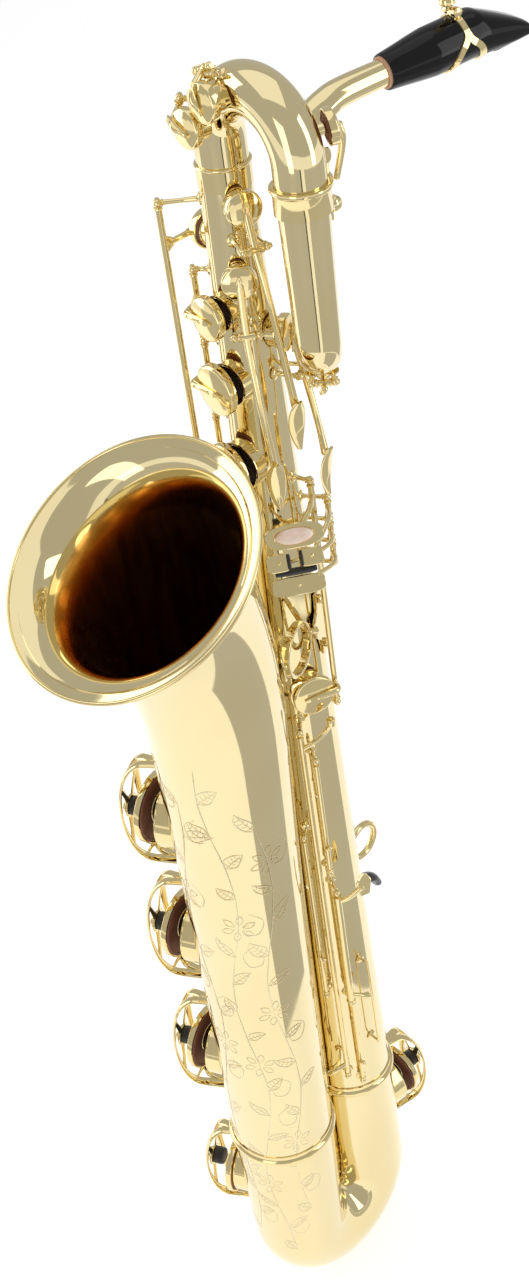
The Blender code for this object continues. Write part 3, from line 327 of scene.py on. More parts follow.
def plate(outline, origin, u, v, thick, soft=0.0004):
    """Flat plate with eased edges: outline in (u, v), thickened both ways across u x v."""
    u = Vector(u).normalized()
    v = (Vector(v) - Vector(v).dot(u) * u).normalized()
    n = u.cross(v)
    cx = sum(a for a, _ in outline) / len(outline)
    cy = sum(c for _, c in outline) / len(outline)
    soft = min(soft, thick * 0.45)
    rings = []
    for h, inset in ((-thick / 2, soft), (-thick / 2 + soft, 0), (thick / 2 - soft, 0), (thick / 2, soft)):
        ring = []
        for a, c in outline:
            reach = math.hypot(a - cx, c - cy) or 1.0
            k = 1 - inset / reach
            ring.append(origin + (cx + (a - cx) * k) * u + (cy + (c - cy) * k) * v + h * n)
        rings.append(ring)
    return loft(rings)


def mirrored(points, *tip):
    """Outline whose second coordinate runs back with the other sign, past its tip."""
    return points + list(tip) + [(a, -c) for a, c in reversed(points)]


def rounded(a, b, power=2.0, n=36):
    """Outline between an ellipse (power 2) and a rectangle (large power)."""
    out = []
    for i in range(n):
        w = 2 * math.pi * i / n
        c, s = math.cos(w), math.sin(w)
        out.append((a * math.copysign(abs(c) ** (2 / power), c), b * math.copysign(abs(s) ** (2 / power), s)))
    return out


# ---- objects ----
def thing(name, body, mat, shapes, turn=None, sharp=38.0):
    """One visible piece that rides on a body. With the name of a CAD node, it stands for that node."""
    bm = bmesh.new()
    for verts, faces in shapes:
        vs = [bm.verts.new(Vector(p) - STRAP) for p in verts]
        for f in faces:
            bm.faces.new([vs[i] for i in f])
    bmesh.ops.recalc_face_normals(bm, faces=bm.faces)
    me = bpy.data.meshes.new("look_" + name)
    bm.to_mesh(me)
    bm.free()
    if turn:
        deg, axis, point = turn
        point = Vector(point) - STRAP
        me.transform(Matrix.Translation(point) @ Matrix.Rotation(math.radians(deg), 4, axis)
                     @ Matrix.Translation(-point))
    me.polygons.foreach_set("use_smooth", [True] * len(me.polygons))
    me.set_sharp_from_angle(angle=math.radians(sharp))
    me.materials.append(mat)
    ob = bpy.data.objects.new("look_" + name, me)
    bpy.context.scene.collection.objects.link(ob)
    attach(ob, body)
    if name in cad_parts:
        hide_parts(name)


# ---- the tubes' geometry ----
def body_r(z):
    return BODY_R0 + (BODY_R1 - BODY_R0) * z / BODY_H


def bell_axis(z):
    return Vector((0, BELL_Y + BELL_LEAN * (z - BELL_Z), z))


BELL_PROFILE = [
    (0.0003, 0.0405), (0.25, 0.043), (0.4, 0.0466), (0.46, 0.0495), (0.51, 0.0538),
    (0.545, 0.0592), (0.566, 0.0648), (0.579, 0.0712), (0.5865, 0.079), (0.59, 0.089),
]


def bell_r(s):
    for (s0, r0), (s1, r1) in zip(BELL_PROFILE, BELL_PROFILE[1:]):
        if s <= s1:
            return r0 + (r1 - r0) * (s - s0) / (s1 - s0)
    return BELL_PROFILE[-1][1]


def bell_point(s):
    straight = FLARE_Z - BELL_Z
    lean = math.atan(BELL_LEAN)
    if s <= straight:
        return bell_axis(BELL_Z + s * math.cos(lean)), Vector((0, math.sin(lean), math.cos(lean)))
    a = (s - straight) / FLARE_R
    start = bell_axis(FLARE_Z)
    w = lean - a
    y = start.y - FLARE_R * (math.cos(lean) - math.cos(w))
    z = start.z + FLARE_R * (math.sin(lean) - math.sin(w))
    return Vector((0, y, z)), Vector((0, math.sin(w), math.cos(w)))


def polar(centre, phi, r):
    w = math.radians(phi)
    return Vector((centre.x + r * math.cos(w), centre.y + r * math.sin(w), centre.z))


def compass(phi):
    return polar(Vector(), phi, 1.0)


def on_body(z):
    return Vector((0, 0, z))


def bell_leg(z):
    return Vector((0, BELL_Y, z))


def bell_z_r(z):
    return bell_r(max(0.0003, z - BELL_Z))


def leg_bell_r(z):
    return 0.0393 + 0.0012 * (z + 0.06) / 0.07 if z > -0.06 else 0.0383 + 0.001 * (z + 0.115) / 0.055


def leg_body_r(z):
    return 0.0342 - 0.001 * z / 0.06 if z > -0.06 else 0.0352 + 0.0009 * (-0.06 - z) / 0.055


def stations_rings(stations, seg, normal):
    """Rings of a tube from its (centre, direction, radius) stations; normal lies across its bends."""
    rings = []
    for p, along, r in stations:
        v = along.cross(normal).normalized()
        rings.append([p + r * (math.cos(w) * normal + math.sin(w) * v)
                      for w in (2 * math.pi * j / seg for j in range(seg))])
    return rings


HORN = []      # shapes soldered to the body tube, bell, bow and crook
HOLE_SHADE_DISCS = []


def chimney(axis_point, d, radius, hole, height):
    """Tone hole wall with a rolled edge, standing on the tube, and a dark disc of painted shade for the hole
    inside it.
    """
    top = radius + height
    low = radius * 0.72
    r = hole + WALL
    HORN.append(ring_lathe([(hole, low), (r, low), (r, top - 0.0012), (r + 0.0004, top - 0.0008),
                            (r + 0.0003, top - 0.0002), (r - 0.0004, top), (hole + 0.0002, top - 0.0003),
                            (hole, top - 0.0009)], axis_point, d, 56))
    # The tube stays closed under the chimney; the dark disc is painted shade.
    base = radius + 0.0004
    HOLE_SHADE_DISCS.append(lathe([(0, base), (hole, base), (hole, base + 0.0002), (0, base + 0.0002)],
                            axis_point, d, 40))


def turned_post(foot, rod, along, ball=0.0029):
    """Post with a flanged foot, a waisted stem and a ball that the rod runs through."""
    d = rod - foot
    h = d.length
    flange = min(0.0042, h * 0.5 + 0.0018)
    profile = [(0, -0.0006), (flange, -0.0006), (flange, 0.0004), (flange * 0.9, 0.0009),
               (flange * 0.55, 0.0014), (0.0017, 0.0024), (0.0014, h * 0.5),
               (0.0016, max(h * 0.55, h - 0.0036)), (0.0023, h - 0.0028), (0.0019, h - 0.0024)]
    for i in range(8):
        w = -0.95 + (math.pi / 2 + 0.93) * i / 7
        profile.append((ball * math.cos(w), h + ball * math.sin(w)))
    profile.append((0, h + ball))
    HORN.append(lathe(profile, foot, d, 20))
    HORN.append(cylinder(rod - along * (ball + 0.0002), rod + along * (ball + 0.0002), 0.0014, 14))


def post(axis_point, radius, rod):
    d = Vector((rod.x - axis_point.x, rod.y - axis_point.y, 0)).normalized()
    foot = axis_point + d * (radius - 0.0002)
    foot.z = rod.z
    turned_post(foot, rod, Z, 0.0027)


def rod_tube(a, b, r=0.0021):
    """Hinge tube with a collar at each end."""
    d = (b - a).normalized()
    shapes = [cylinder(a, b, r, 22)]
    for end, way in ((a, 1), (b, -1)):
        at = end + d * way * 0.0002
        shapes.append(ring_lathe([(r * 0.9, 0), (r + 0.0005, 0), (r + 0.0006, 0.0003), (r + 0.0006, 0.0012),
                                  (r + 0.0003, 0.0015), (r * 0.9, 0.0015)], at, d * way, 22))
    return shapes


def cup(center, d, r):
    """Key cup: turned-down rim, eased edge and a slightly domed back."""
    return lathe([(0, 0.0042), (r - 0.0006, 0.0042), (r - 0.0006, 0.0008), (r - 0.0002, 0.0005),
                  (r + 0.0006, 0.0008), (r + 0.0007, 0.0047), (r + 0.0004, 0.0055), (r - 0.0004, 0.006),
                  (r - 0.0014, 0.0062), (r * 0.75, 0.0067), (r * 0.5, 0.0072), (r * 0.25, 0.0075),
                  (0, 0.0076)], center, d, 56)


def pad(center, d, r):
    """Leather pad: rolled edge and a flat face with a shallow pressed ring."""
    return lathe([(0, 0.0001), (r * 0.3, 0.0001), (r - 0.0042, 0.0002), (r - 0.0036, 0.0004),
                  (r - 0.003, 0.0001), (r - 0.0022, 0.0), (r - 0.0014, 0.0004), (r - 0.0009, 0.0013),
                  (r - 0.0009, 0.0039), (0, 0.0039)], center, d, 56)


def resonator(center, d, r):
    return lathe([(0, -0.0013), (r * 0.14, -0.0012), (r * 0.17, -0.0006), (r * 0.4, -0.0005),
                  (r * 0.46, -0.0002), (r * 0.47, 0.0003), (0, 0.0003)], center, d, 36)


def ridge(center, d, way, r):
    """Raised rib that carries the arm over the back of a cup."""
    top = center + d * 0.0078
    return strap([top - way * (r * 0.55), top - way * (r * 0.1) + d * 0.0006,
                  top + way * (r * 0.6) + d * 0.0004,
                  top + way * (r + 0.001) - d * 0.0004], [0.001, 0.0022, 0.0025, 0.0024], 0.0016, d.cross(way))


CUP_REACH = 0.0034


def tone_key(tag, ax, phi, radius, hole, height, hinge_phi, hinge_r, z_lo, z_hi, open_deg,
             stays_open, parts=()):
    """Key whose hinge runs along the tube, with its pad and chimney, drawn at its angle of rest."""
    d = compass(phi)
    chimney(ax, d, radius, hole, height)
    seat = ax + d * (radius + height + GAP)
    hinge = polar(ax, hinge_phi, hinge_r)
    r = hole + CUP_REACH
    step = 1 if ((hinge_phi - phi + 180) % 360 - 180) > 0 else -1
    toward = Z.cross(d) * step
    root = Vector((hinge.x, hinge.y, ax.z))
    knee = seat + toward * (r + 0.0026) + d * 0.007
    arm = sweep([seat + d * 0.008 + toward * 0.001, seat + d * 0.0082 + toward * (r * 0.75), knee, root],
                [0.002, 0.0023, 0.0021, 0.0019], 16, 0.85, up=(0, 0, 1))
    fins = [sweep([root + Z * s * 0.005, root + Z * s * 0.0015 + (knee - root) * 0.35], [0.0012, 0.0016], 12)
            for s in (-1, 1)]
    tube = rod_tube(Vector((hinge.x, hinge.y, z_lo)), Vector((hinge.x, hinge.y, z_hi)))
    turn = (step * open_deg, "Z", hinge) if stays_open else None
    body = "key_" + tag
    thing("key_" + tag, body, KEY_BRASS, [arm, cup(seat, d, r), ridge(seat, d, toward, r)] + fins + tube
          + list(parts), turn)
    thing("pad_" + tag, body, LEATHER, [pad(seat, d, r)], turn)
    thing("resonator_" + tag, body, KEY_BRASS, [resonator(seat, d, r)], turn)
    return hinge


def rod_posts(hinge, heights, centre, radius_at):
    for z in heights:
        post(centre(z), radius_at(z), Vector((hinge.x, hinge.y, z)))


# ---- keys of bell and bow ----
BELL_KEYS = [("low_A", 0.34, 0.0245), ("low_Bb", 0.222, 0.024), ("low_B", 0.092, 0.023)]
BELL_PHI = 200.0
BELL_HINGE = 138.0
for tag, z, hole in BELL_KEYS:
    hinge = tone_key(tag, bell_axis(z), BELL_PHI, bell_z_r(z), hole, 0.005, BELL_HINGE, 0.054,
                     z - 0.03, z + 0.03, 9.0, True)
    rod_posts(hinge, (z - 0.0327, z + 0.0327), bell_axis, bell_z_r)
LEG_BELL = Vector((0, BELL_Y, -0.062))
LEG_BODY = Vector((0, 0, -0.056))
R_LEG_BELL = leg_bell_r(-0.062)
R_LEG_BODY = leg_body_r(-0.056)
hinge = tone_key("low_Csharp", LEG_BELL, BELL_PHI, R_LEG_BELL, 0.0215, 0.005, BELL_HINGE, 0.05,
                 -0.086, -0.038, 8.0, False)
rod_posts(hinge, (-0.0887, -0.0353), bell_leg, lambda z: R_LEG_BELL)
hinge = tone_key("low_C", LEG_BODY, 82.0, R_LEG_BODY, 0.0215, 0.005, 142.0, 0.046, -0.08, -0.032, 9.0, True)
rod_posts(hinge, (-0.0827, -0.0293), on_body, lambda z: R_LEG_BODY)

# ---- lower and upper stacks ----
for tag, z, hole in (("F", 0.39, 0.016), ("D", 0.275, 0.0175)):
    hinge = tone_key(tag, on_body(z), 190.0, body_r(z), hole, 0.004, 130.0, 0.0385, z - 0.03, z + 0.03, 8.0,
                     True)
rod_posts(hinge, (0.2423, 0.3077, 0.3573, 0.4227), on_body, body_r)
for tag, z, hole, lo, hi in (("B", 0.712, 0.01, 0.688, 0.73), ("A", 0.664, 0.0128, 0.636, 0.6825),
                             ("G", 0.606, 0.0149, 0.582, 0.6305)):
    hinge = tone_key(tag, on_body(z), 270.0, body_r(z), hole, 0.004, 212.0, 0.0275, lo, hi, 9.0, True)
rod_posts(hinge, (0.5793, 0.63325, 0.68525, 0.7327), on_body, body_r)

TAB_U = Vector((0.64, 0.77, 0)).normalized()
TAB_V = Vector((-0.35, 0.29, 0.89))
TAB_V = (TAB_V - TAB_V.dot(TAB_U) * TAB_U).normalized()
TAB_N = TAB_U.cross(TAB_V)
GS_AT = Vector((0.047, -0.03, 0.574))
GS_HINGE = polar(Vector(), 8.0, 0.0335)
gs_plate = plate(rounded(0.019, 0.008, 2.6), GS_AT, TAB_U, TAB_V, 0.0018, 0.0006)
gs_rim = ring_lathe([(0.98, -0.0004), (1.06, -0.0004), (1.07, 0.0002), (1.03, 0.0007), (0.98, 0.0004)],
                    Vector((0, 0, 0)), Z, 40)
gs_rim = ([GS_AT + TAB_N * (0.0009 + p.z) + p.x * 0.0122 * TAB_U + p.y * 0.0054 * TAB_V for p in gs_rim[0]],
          gs_rim[1])
gs_arm = sweep([GS_HINGE + Z * 0.58, (0.041, -0.008, 0.578), (0.0465, -0.028, 0.5733)],
               [0.0019, 0.0018, 0.002])
tone_key("Gsharp", on_body(0.425), 335.0, body_r(0.425), 0.0115, 0.004, 8.0, 0.0335, 0.411, 0.588,
         7.0, False, [gs_arm, gs_plate, gs_rim])
rod_posts(GS_HINGE, (0.4083, 0.5907), on_body, body_r)
pearl_rings = [[GS_AT + TAB_N * h + s * (a * TAB_U + c * TAB_V) for a, c in rounded(0.012, 0.0052, 2.0, 48)]
               for h, s in ((0.001, 1.0), (0.0018, 0.99), (0.0023, 0.93), (0.0027, 0.8), (0.0029, 0.55),
                            (0.003, 0.2))]
thing("pearl_Gsharp", "key_Gsharp", PEARL, [loft(pearl_rings)])

SIDE_HINGE = polar(Vector(), 221.0, 0.0411)
side_touch = sweep([SIDE_HINGE + Z * 0.468, (-0.046, -0.024, 0.462), (-0.058, -0.016, 0.45)],
                   [0.0018, 0.0018, 0.0022])
side_leaf = plate(rounded(0.016, 0.006, 2.3), Vector((-0.059, -0.0155, 0.438)), (0, 0, 1), (0.6, 0.8, 0),
                  0.0026, 0.001)
tone_key("side_E", on_body(0.752), 172.0, body_r(0.752), 0.0085, 0.004, 221.0, 0.0411, 0.46, 0.776,
         7.0, False, [side_touch, side_leaf])
rod_posts(SIDE_HINGE, (0.4573, 0.7787), on_body, body_r)


# ---- palm keys and crook keys ----
def small_key(tag, seat, d, rib, r, shapes, hinge, along, half, tube_r, foot):
    """Closed key with its hinge tube between two posts; foot(side) is where each post stands."""
    thing("key_" + tag, "key_" + tag, KEY_BRASS, shapes + [cup(seat, d, r), ridge(seat, d, rib, r)]
          + rod_tube(hinge - along * half, hinge + along * half, tube_r))
    thing("pad_" + tag, "key_" + tag, LEATHER, [pad(seat, d, r)])
    for side in (-1, 1):
        turned_post(foot(side), hinge + along * side * (half + 0.0024), along, 0.0025)


def palm_key(tag, phi, z_cup, hole, z_hinge, phi_touch, z_touch, r_touch):
    ax = on_body(z_cup)
    radius = body_r(z_cup)
    d = compass(phi)
    chimney(ax, d, radius, hole, 0.004)
    across = Z.cross(d)
    seat = ax + d * (radius + 0.004 + GAP)
    hinge = polar(on_body(z_hinge), phi, 0.0345)
    touch = polar(on_body(z_touch), phi_touch, r_touch)
    low = polar(on_body(z_hinge - 0.034), (phi * 2 + phi_touch) / 3, 0.0415)
    out = compass(phi_touch)
    arm = sweep([seat + d * 0.0076 + Z * 0.004, seat + d * 0.0084 - Z * 0.004, hinge, low, touch + Z * 0.012],
                [0.0016, 0.0023, 0.0025, 0.0021, 0.0026], 18, 0.85)
    leaf = []
    for i in range(15):
        t = i / 14
        z = 0.017 - 0.035 * t
        half = 0.0062 * math.sin(math.pi * (0.1 + 0.84 * t ** 0.8)) ** 0.75
        p = touch + (Z + out * 0.15).normalized() * z + out * (0.0022 * (t - 0.5) ** 2 * 4)
        leaf.append([p + half * math.cos(w) * Z.cross(out) + (0.0013 * math.sin(w)
                     - 0.001 * math.cos(w) ** 2) * out for w in (2 * math.pi * j / 24 for j in range(24))])
    root = polar(on_body(z_hinge), phi, body_r(z_hinge) - 0.0006)
    small_key(tag, seat, d, -Z, hole + 0.003, [arm, loft(leaf)], hinge, across, 0.005, 0.0024,
              lambda side: root + across * side * 0.006)


palm_key("palm_D", 335.0, 0.779, 0.0076, 0.758, 344.0, 0.646, 0.048)
palm_key("palm_Eb", 380.0, 0.692, 0.008, 0.6665, 366.0, 0.604, 0.049)
palm_key("palm_F", 315.0, 0.735, 0.0072, 0.705, 322.0, 0.608, 0.048)

# ---- top crook ----
CROOK_U = Vector((math.cos(CROOK_DIR), math.sin(CROOK_DIR), 0))
CROOK_N = Z.cross(CROOK_U)


def crook_point(deg):
    w = math.radians(deg)
    c = Vector((0, 0, BODY_H + CROOK_RISE)) + CROOK_U * (CROOK_SPAN / 2)
    return (c + CROOK_SPAN / 2 * (math.cos(w) * CROOK_U + math.sin(w) * Z),
            (math.sin(w) * CROOK_U - math.cos(w) * Z))


foot = CROOK_U * CROOK_SPAN
crook_stations = [(on_body(BODY_H + 0.0003), Z, BODY_R1), (on_body(BODY_H + 0.006), Z, BODY_R1),
                  (on_body(BODY_H + CROOK_RISE), Z, BODY_R1)]
for i in range(1, 36):
    crook_stations.append((*crook_point(180 - 5 * i), BODY_R1 + (CROOK_R2 - BODY_R1) * i / 36))
crook_stations += [(foot + Z * (BODY_H + CROOK_RISE), -Z, CROOK_R2),
                   (foot + Z * (BODY_H + 0.0006), -Z, CROOK_R2)]
thing("top_crook", "horn", BRASS, [loft(stations_rings(crook_stations, 72, CROOK_N))])


def crook_key(tag, deg, hole):
    p, along = crook_point(deg)
    d = -CROOK_N
    out = (p - crook_point(90)[0] + Z * (CROOK_SPAN / 2)).normalized()
    chimney(p, d, BODY_R1, hole, 0.004)
    seat = p + d * (BODY_R1 + 0.004 + GAP)
    hinge = p + out * 0.0165 + d * 0.016
    arm = sweep([seat + d * 0.0078 - out * 0.004, seat + d * 0.009 + out * 0.006, hinge],
                [0.0014, 0.0022, 0.002])
    root = p + (out * 0.72 + d * 0.69) * (BODY_R1 - 0.0004)
    small_key(tag, seat, d, out, hole + 0.0032, [arm], hinge, along, 0.0045, 0.0021,
              lambda side: root + along * side * 0.006)


crook_key("high_E", 158.0, 0.008)
crook_key("high_F", 112.0, 0.008)

# ---- down tube, small bow, neck receiver ----
PIG_DIR = Vector((-0.6613, 0.7499, 0)).normalized()
PIG_SPAN = 0.036
PIG_Z = 0.709
REC_TOP = 0.79
PIG_N = Z.cross(PIG_DIR)
REC = foot + PIG_DIR * PIG_SPAN
pig = [(foot + Z * (BODY_H - 0.0003), -Z, CROOK_R2), (foot + Z * 0.78, -Z, 0.0147),
       (foot + Z * 0.755, -Z, 0.0142), (foot + Z * 0.73, -Z, 0.0138), (foot + Z * PIG_Z, -Z, 0.0134)]
for i in range(1, 30):
    w = math.radians(180 + 6 * i)
    c = foot + Z * PIG_Z + PIG_DIR * (PIG_SPAN / 2)
    pig.append((c + PIG_SPAN / 2 * (math.cos(w) * PIG_DIR + math.sin(w) * Z),
                math.cos(w) * Z - math.sin(w) * PIG_DIR, 0.0134 - 0.001 * i / 30))
pig += [(REC + Z * PIG_Z, Z, 0.0124), (REC + Z * 0.75, Z, 0.0124), (REC + Z * REC_TOP, Z, 0.0124)]
WATER = foot + Z * (PIG_Z - 0.0315) + PIG_DIR * 0.018
w_hinge = WATER - PIG_DIR * 0.0125 - Z * 0.002
socket = ring_lathe([(0.0112, 0.769), (0.0134, 0.769), (0.0144, 0.77), (0.0144, 0.7755), (0.0139, 0.776),
                     (0.0139, 0.784), (0.0144, 0.7845), (0.0146, 0.787), (0.0144, 0.7896), (0.0138, 0.79),
                     (0.0112, 0.79)], REC, Z, 64)
receiver = [loft(stations_rings(pig, 64, PIG_N)), socket,
            sweep([REC + X * 0.012 + Z * 0.78, REC + X * 0.0185 + Z * 0.78, REC + X * 0.024 + Z * 0.78],
                  [0.0046, 0.005, 0.0046], 28),
            lathe([(0, 0.004), (0.004, 0.004), (0.004, 0.0026), (0.003, 0.0022), (0.003, -0.0005),
                   (0.0018, -0.0005), (0, 0.001)], WATER, Z, 28)]
thing("neck_receiver", "horn", BRASS, receiver)
for side in (-1, 1):
    head = w_hinge + PIG_N * side * 0.007
    turned_post(head + Z * 0.0072 - PIG_N * side * 0.001, head, PIG_N, 0.0026)
thing("water_key", "water_key", KEY_BRASS, [
    sweep([w_hinge, w_hinge - Z * 0.0016 + PIG_DIR * 0.006, WATER - Z * 0.0042], [0.0017, 0.0017, 0.0019]),
    lathe([(0, -0.005), (0.0034, -0.005), (0.0041, -0.0045), (0.0042, -0.0018), (0.0038, -0.0012),
           (0, -0.0012)],
          WATER, Z, 32),
    sweep([w_hinge, w_hinge - PIG_DIR * 0.005 - Z * 0.001, w_hinge - PIG_DIR * 0.011 + Z * 0.001],
          [0.0018, 0.002, 0.0032], 24, 0.62)]
    + rod_tube(w_hinge - PIG_N * 0.0049, w_hinge + PIG_N * 0.0049))
clamp = REC + X * 0.019
thing("neck_clamp_screw", "neck_clamp_screw", KEY_BRASS, [
    cylinder(clamp + Z * 0.7695, clamp + Z * 0.804, 0.0018, 20, soft=0.0004),
    lathe([(0, 0.7925), (0.0034, 0.7925), (0.0038, 0.7932), (0.0038, 0.795), (0.0032, 0.7965), (0.0022, 0.7978),
           (0, 0.798)], clamp, Z, 32),
    plate(rounded(0.0052, 0.0052, 2.2), clamp + Z * 0.8072, (0, 1, 0), (0, 0, 1), 0.002, 0.0008)])
thing("crook_ferrule", "horn", KEY_BRASS, [
    ring_lathe([(CROOK_R2 + 0.0001, -0.013), (0.016, -0.013), (0.0166, -0.0126), (0.0166, 0.0000),
                (0.017, 0.0006), (0.0178, 0.0012), (0.0181, 0.0024), (0.0178, 0.0034), (0.0168, 0.0038),
                (CROOK_R2 + 0.0001, 0.0035)], foot + Z * BODY_H, Z, 72)])
HORN.append(torus(on_body(BODY_H), Z, BODY_R1 + 0.0004, 0.0012, 72, 12))
HORN.append(ring_lathe([(BODY_R1, -0.014), (BODY_R1 + 0.0009, -0.0138), (BODY_R1 + 0.001, -0.0005),
                        (BODY_R1, -0.0002)], on_body(BODY_H), Z, 72))

# ---- neck, cork, mouthpiece ----
NECK_H = Vector((math.sin(math.radians(17.0)), math.cos(math.radians(17.0)), 0))
MOUTH_DIR = (NECK_H + Z * math.tan(math.radians(5.0))).normalized()
CORK_AT = REC + NECK_H * 0.0321 + Z * 0.8315
neck_pts = [(REC + Z * 0.769, 0.0108), (REC + Z * 0.7915, 0.0108), (REC + Z * 0.803, 0.0106),
            (REC + NECK_H * 0.0035 + Z * 0.8135, 0.0101), (REC + NECK_H * 0.011 + Z * 0.8222, 0.0095),
            (REC + NECK_H * 0.02 + Z * 0.828, 0.0089), (CORK_AT, 0.0084),
            (CORK_AT + MOUTH_DIR * 0.03, 0.0079), (CORK_AT + MOUTH_DIR * 0.046, 0.0077)]
neck_collar = ring_lathe([(0.01, 0.793), (0.0134, 0.793), (0.014, 0.7936), (0.014, 0.795), (0.0132, 0.7958),
                          (0.0132, 0.7984), (0.0137, 0.799), (0.0137, 0.8004), (0.013, 0.801), (0.01, 0.801)],
                         REC, Z, 64)
thing("neck", "neck", BRASS, [sweep([p for p, _ in neck_pts], [r for _, r in neck_pts], 56, per=8, dome=False),
                                   neck_collar])
thing("neck_cork", "neck", CORK, [
    ring_lathe([(0.0078, 0.0265), (0.0086, 0.0264), (0.0092, 0.027), (0.0094, 0.03), (0.0092, 0.0446),
                (0.0088, 0.045), (0.0078, 0.045)], CORK_AT, MOUTH_DIR, 56)])
MP = CORK_AT + MOUTH_DIR * 0.029
mp_u = (X - MOUTH_DIR * X.dot(MOUTH_DIR)).normalized()
mp_v = MOUTH_DIR.cross(mp_u)
mp_v = mp_v if mp_v.z > 0 else -mp_v
MP_SHAPE = [(-0.0008, 0.0098, 0.0098, -0.0098), (0.0, 0.0106, 0.0106, -0.0106), (0.01, 0.0118, 0.0118, -0.0118),
            (0.02, 0.0131, 0.0131, -0.0131), (0.027, 0.0139, 0.0139, -0.0139), (0.031, 0.0142, 0.0142, -0.0142),
            (0.04, 0.0142, 0.0142, -0.0141), (0.056, 0.0142, 0.0142, -0.0139), (0.062, 0.014, 0.0136, -0.0137),
            (0.066, 0.0138, 0.0118, -0.0136), (0.074, 0.013, 0.0078, -0.0135), (0.084, 0.0118, 0.0026, -0.0133),
            (0.094, 0.0105, -0.0034, -0.0129), (0.099, 0.0097, -0.0092, -0.0126),
            (0.101, 0.009, -0.0113, -0.0124)]
mp_steps = [i / 5 for i in range(5 * (len(MP_SHAPE) - 1) + 1)]
mp_rings = []
for h, half, top, bottom in (through([Vector(row) for row in MP_SHAPE], t) for t in mp_steps):
    ring = []
    mid = (top + bottom) / 2
    level = 2.0 + 1.6 * min(1.0, max(0.0, (h - 0.056) / 0.03))
    for j in range(56):
        w = 2 * math.pi * (j + 0.5) / 56
        a = half * math.copysign(abs(math.cos(w)) ** (2 / level), math.cos(w))
        up = math.copysign(abs(math.sin(w)) ** (2 / level), math.sin(w))
        ring.append(MP + MOUTH_DIR * h + mp_u * a + mp_v * (mid + (top - mid if up > 0 else mid - bottom) * up))
    mp_rings.append(ring)
thing("mouthpiece", "mouthpiece", EBONITE, [loft(mp_rings)], sharp=50.0)
# The mouthpiece window is a dark plate of painted shade on the closed table.
thing("mouthpiece_window", "mouthpiece", PAINTED_SHADE, [plate(
    mirrored([(0.071, -0.0058), (0.074, -0.0064), (0.0955, -0.0052)], (0.097, 0.0)), MP - mp_v * 0.0137,
    MOUTH_DIR, mp_u, 0.0008, 0.0002)])

lig_a = MP + MOUTH_DIR * 0.037
LIG_R = 0.0144
BAND_HALF = 0.0021
BAND_THICK = 0.0008


def lig_point(h, w, grow=0.0):
    r = LIG_R + grow
    return lig_a + MOUTH_DIR * h + r * (math.cos(w) * mp_u + math.sin(w) * mp_v)


def lig_band(path):
    """Flat band wrapped on the mouthpiece along (height, angle) steps."""
    path = [Vector((h, w)) for h, w in path]
    steps = [through(path, i / 10) for i in range((len(path) - 1) * 10 + 1)]
    rings = []
    for i, s in enumerate(steps):
        a, c = steps[max(0, i - 1)], steps[min(len(steps) - 1, i + 1)]
        run = Vector((c[0] - a[0], (c[1] - a[1]) * LIG_R)).normalized()
        side = Vector((-run[1], run[0])) * BAND_HALF
        ring = []
        for e, grow in ((-1, 0), (-0.88, BAND_THICK), (0.88, BAND_THICK), (1, 0)):
            ring.append(lig_point(s[0] + side[0] * e, s[1] + side[1] * e / LIG_R, grow))
        rings.append(ring)
    return loft(rings)


PI = math.pi
BAND_PATHS = [
    [(0.0125, 0.3), (0.0125, 0.75), (0.012, 1.2), (0.006, 1.75), (0.002, 2.4), (0.0018, PI + 0.02)],
    [(0.0125, 1.0), (0.0145, 1.35), (0.0205, 1.8), (0.0235, 2.4), (0.0238, PI + 0.02)]]
bands = [lig_band([(h, PI / 2 + m * w) for h, w in path]) for m in (1, -1) for path in BAND_PATHS]
lug_at = lig_a + mp_v * 0.0172 + MOUTH_DIR * 0.0125
lugs = [cylinder(lug_at - mp_u * 0.0022, lug_at + mp_u * 0.0022, 0.0021)]
for s in (1, -1):
    lugs.append(cylinder(lug_at + mp_u * s * 0.002, lug_at + mp_u * s * 0.0062, 0.003, 28, soft=0.0006))
    lugs.append(sweep([lig_point(0.0125, PI / 2 + s * 0.2, 0.0004), lug_at + mp_u * s * 0.0042],
                      [0.0026, 0.0022], 16, per=2))
thing("ligature", "mouthpiece", KEY_BRASS, bands + lugs)
screw_at = lig_a + MOUTH_DIR * 0.01
thing("ligature_screw", "ligature_screw", KEY_BRASS, [
    cylinder(screw_at + mp_v * 0.0185, screw_at + mp_v * 0.0268, 0.0017, 20),
    lathe([(0, 0.0218), (0.004, 0.0218), (0.0047, 0.0224), (0.0047, 0.0246), (0.0038, 0.0262), (0.0026, 0.0274),
           (0, 0.0276)], screw_at, mp_v, 36),
    plate(rounded(0.0085, 0.0058, 2.2), screw_at + mp_v * 0.0318, mp_u, mp_v, 0.0024, 0.001)])

# ---- bottom bow ----
HALF = -BELL_Y / 2
bow = [(on_body(-0.0003), -Z, BODY_R0), (on_body(-0.03), -Z, 0.0347), (on_body(-0.06), -Z, 0.0352),
       (on_body(-0.09), -Z, 0.0357), (on_body(-BOW_STRAIGHT), -Z, 0.0361)]
for i in range(1, 40):
    w = math.pi * i / 40
    bow.append((Vector((0, -HALF + HALF * math.cos(w), -BOW_STRAIGHT - HALF * math.sin(w))),
                Vector((0, -math.sin(w), -math.cos(w))), 0.0361 + 0.0022 * i / 40))
bow += [(bell_leg(-BOW_STRAIGHT), Z, 0.0383), (bell_leg(-0.09), Z, 0.0388), (bell_leg(-0.06), Z, 0.0393),
        (bell_leg(-0.025), Z, 0.0399), (bell_leg(BELL_Z - 0.0003), Z, 0.0405)]
bow_foot = Vector((0, -HALF, -BOW_STRAIGHT - HALF - 0.0371))
wear = plate(rounded(0.016, 0.009, 2.4), bow_foot - Z * 0.0004, X, Y, 0.002, 0.0007)
thing("bottom_bow", "horn", BRASS, [loft(stations_rings(bow, 96, X)), wear])

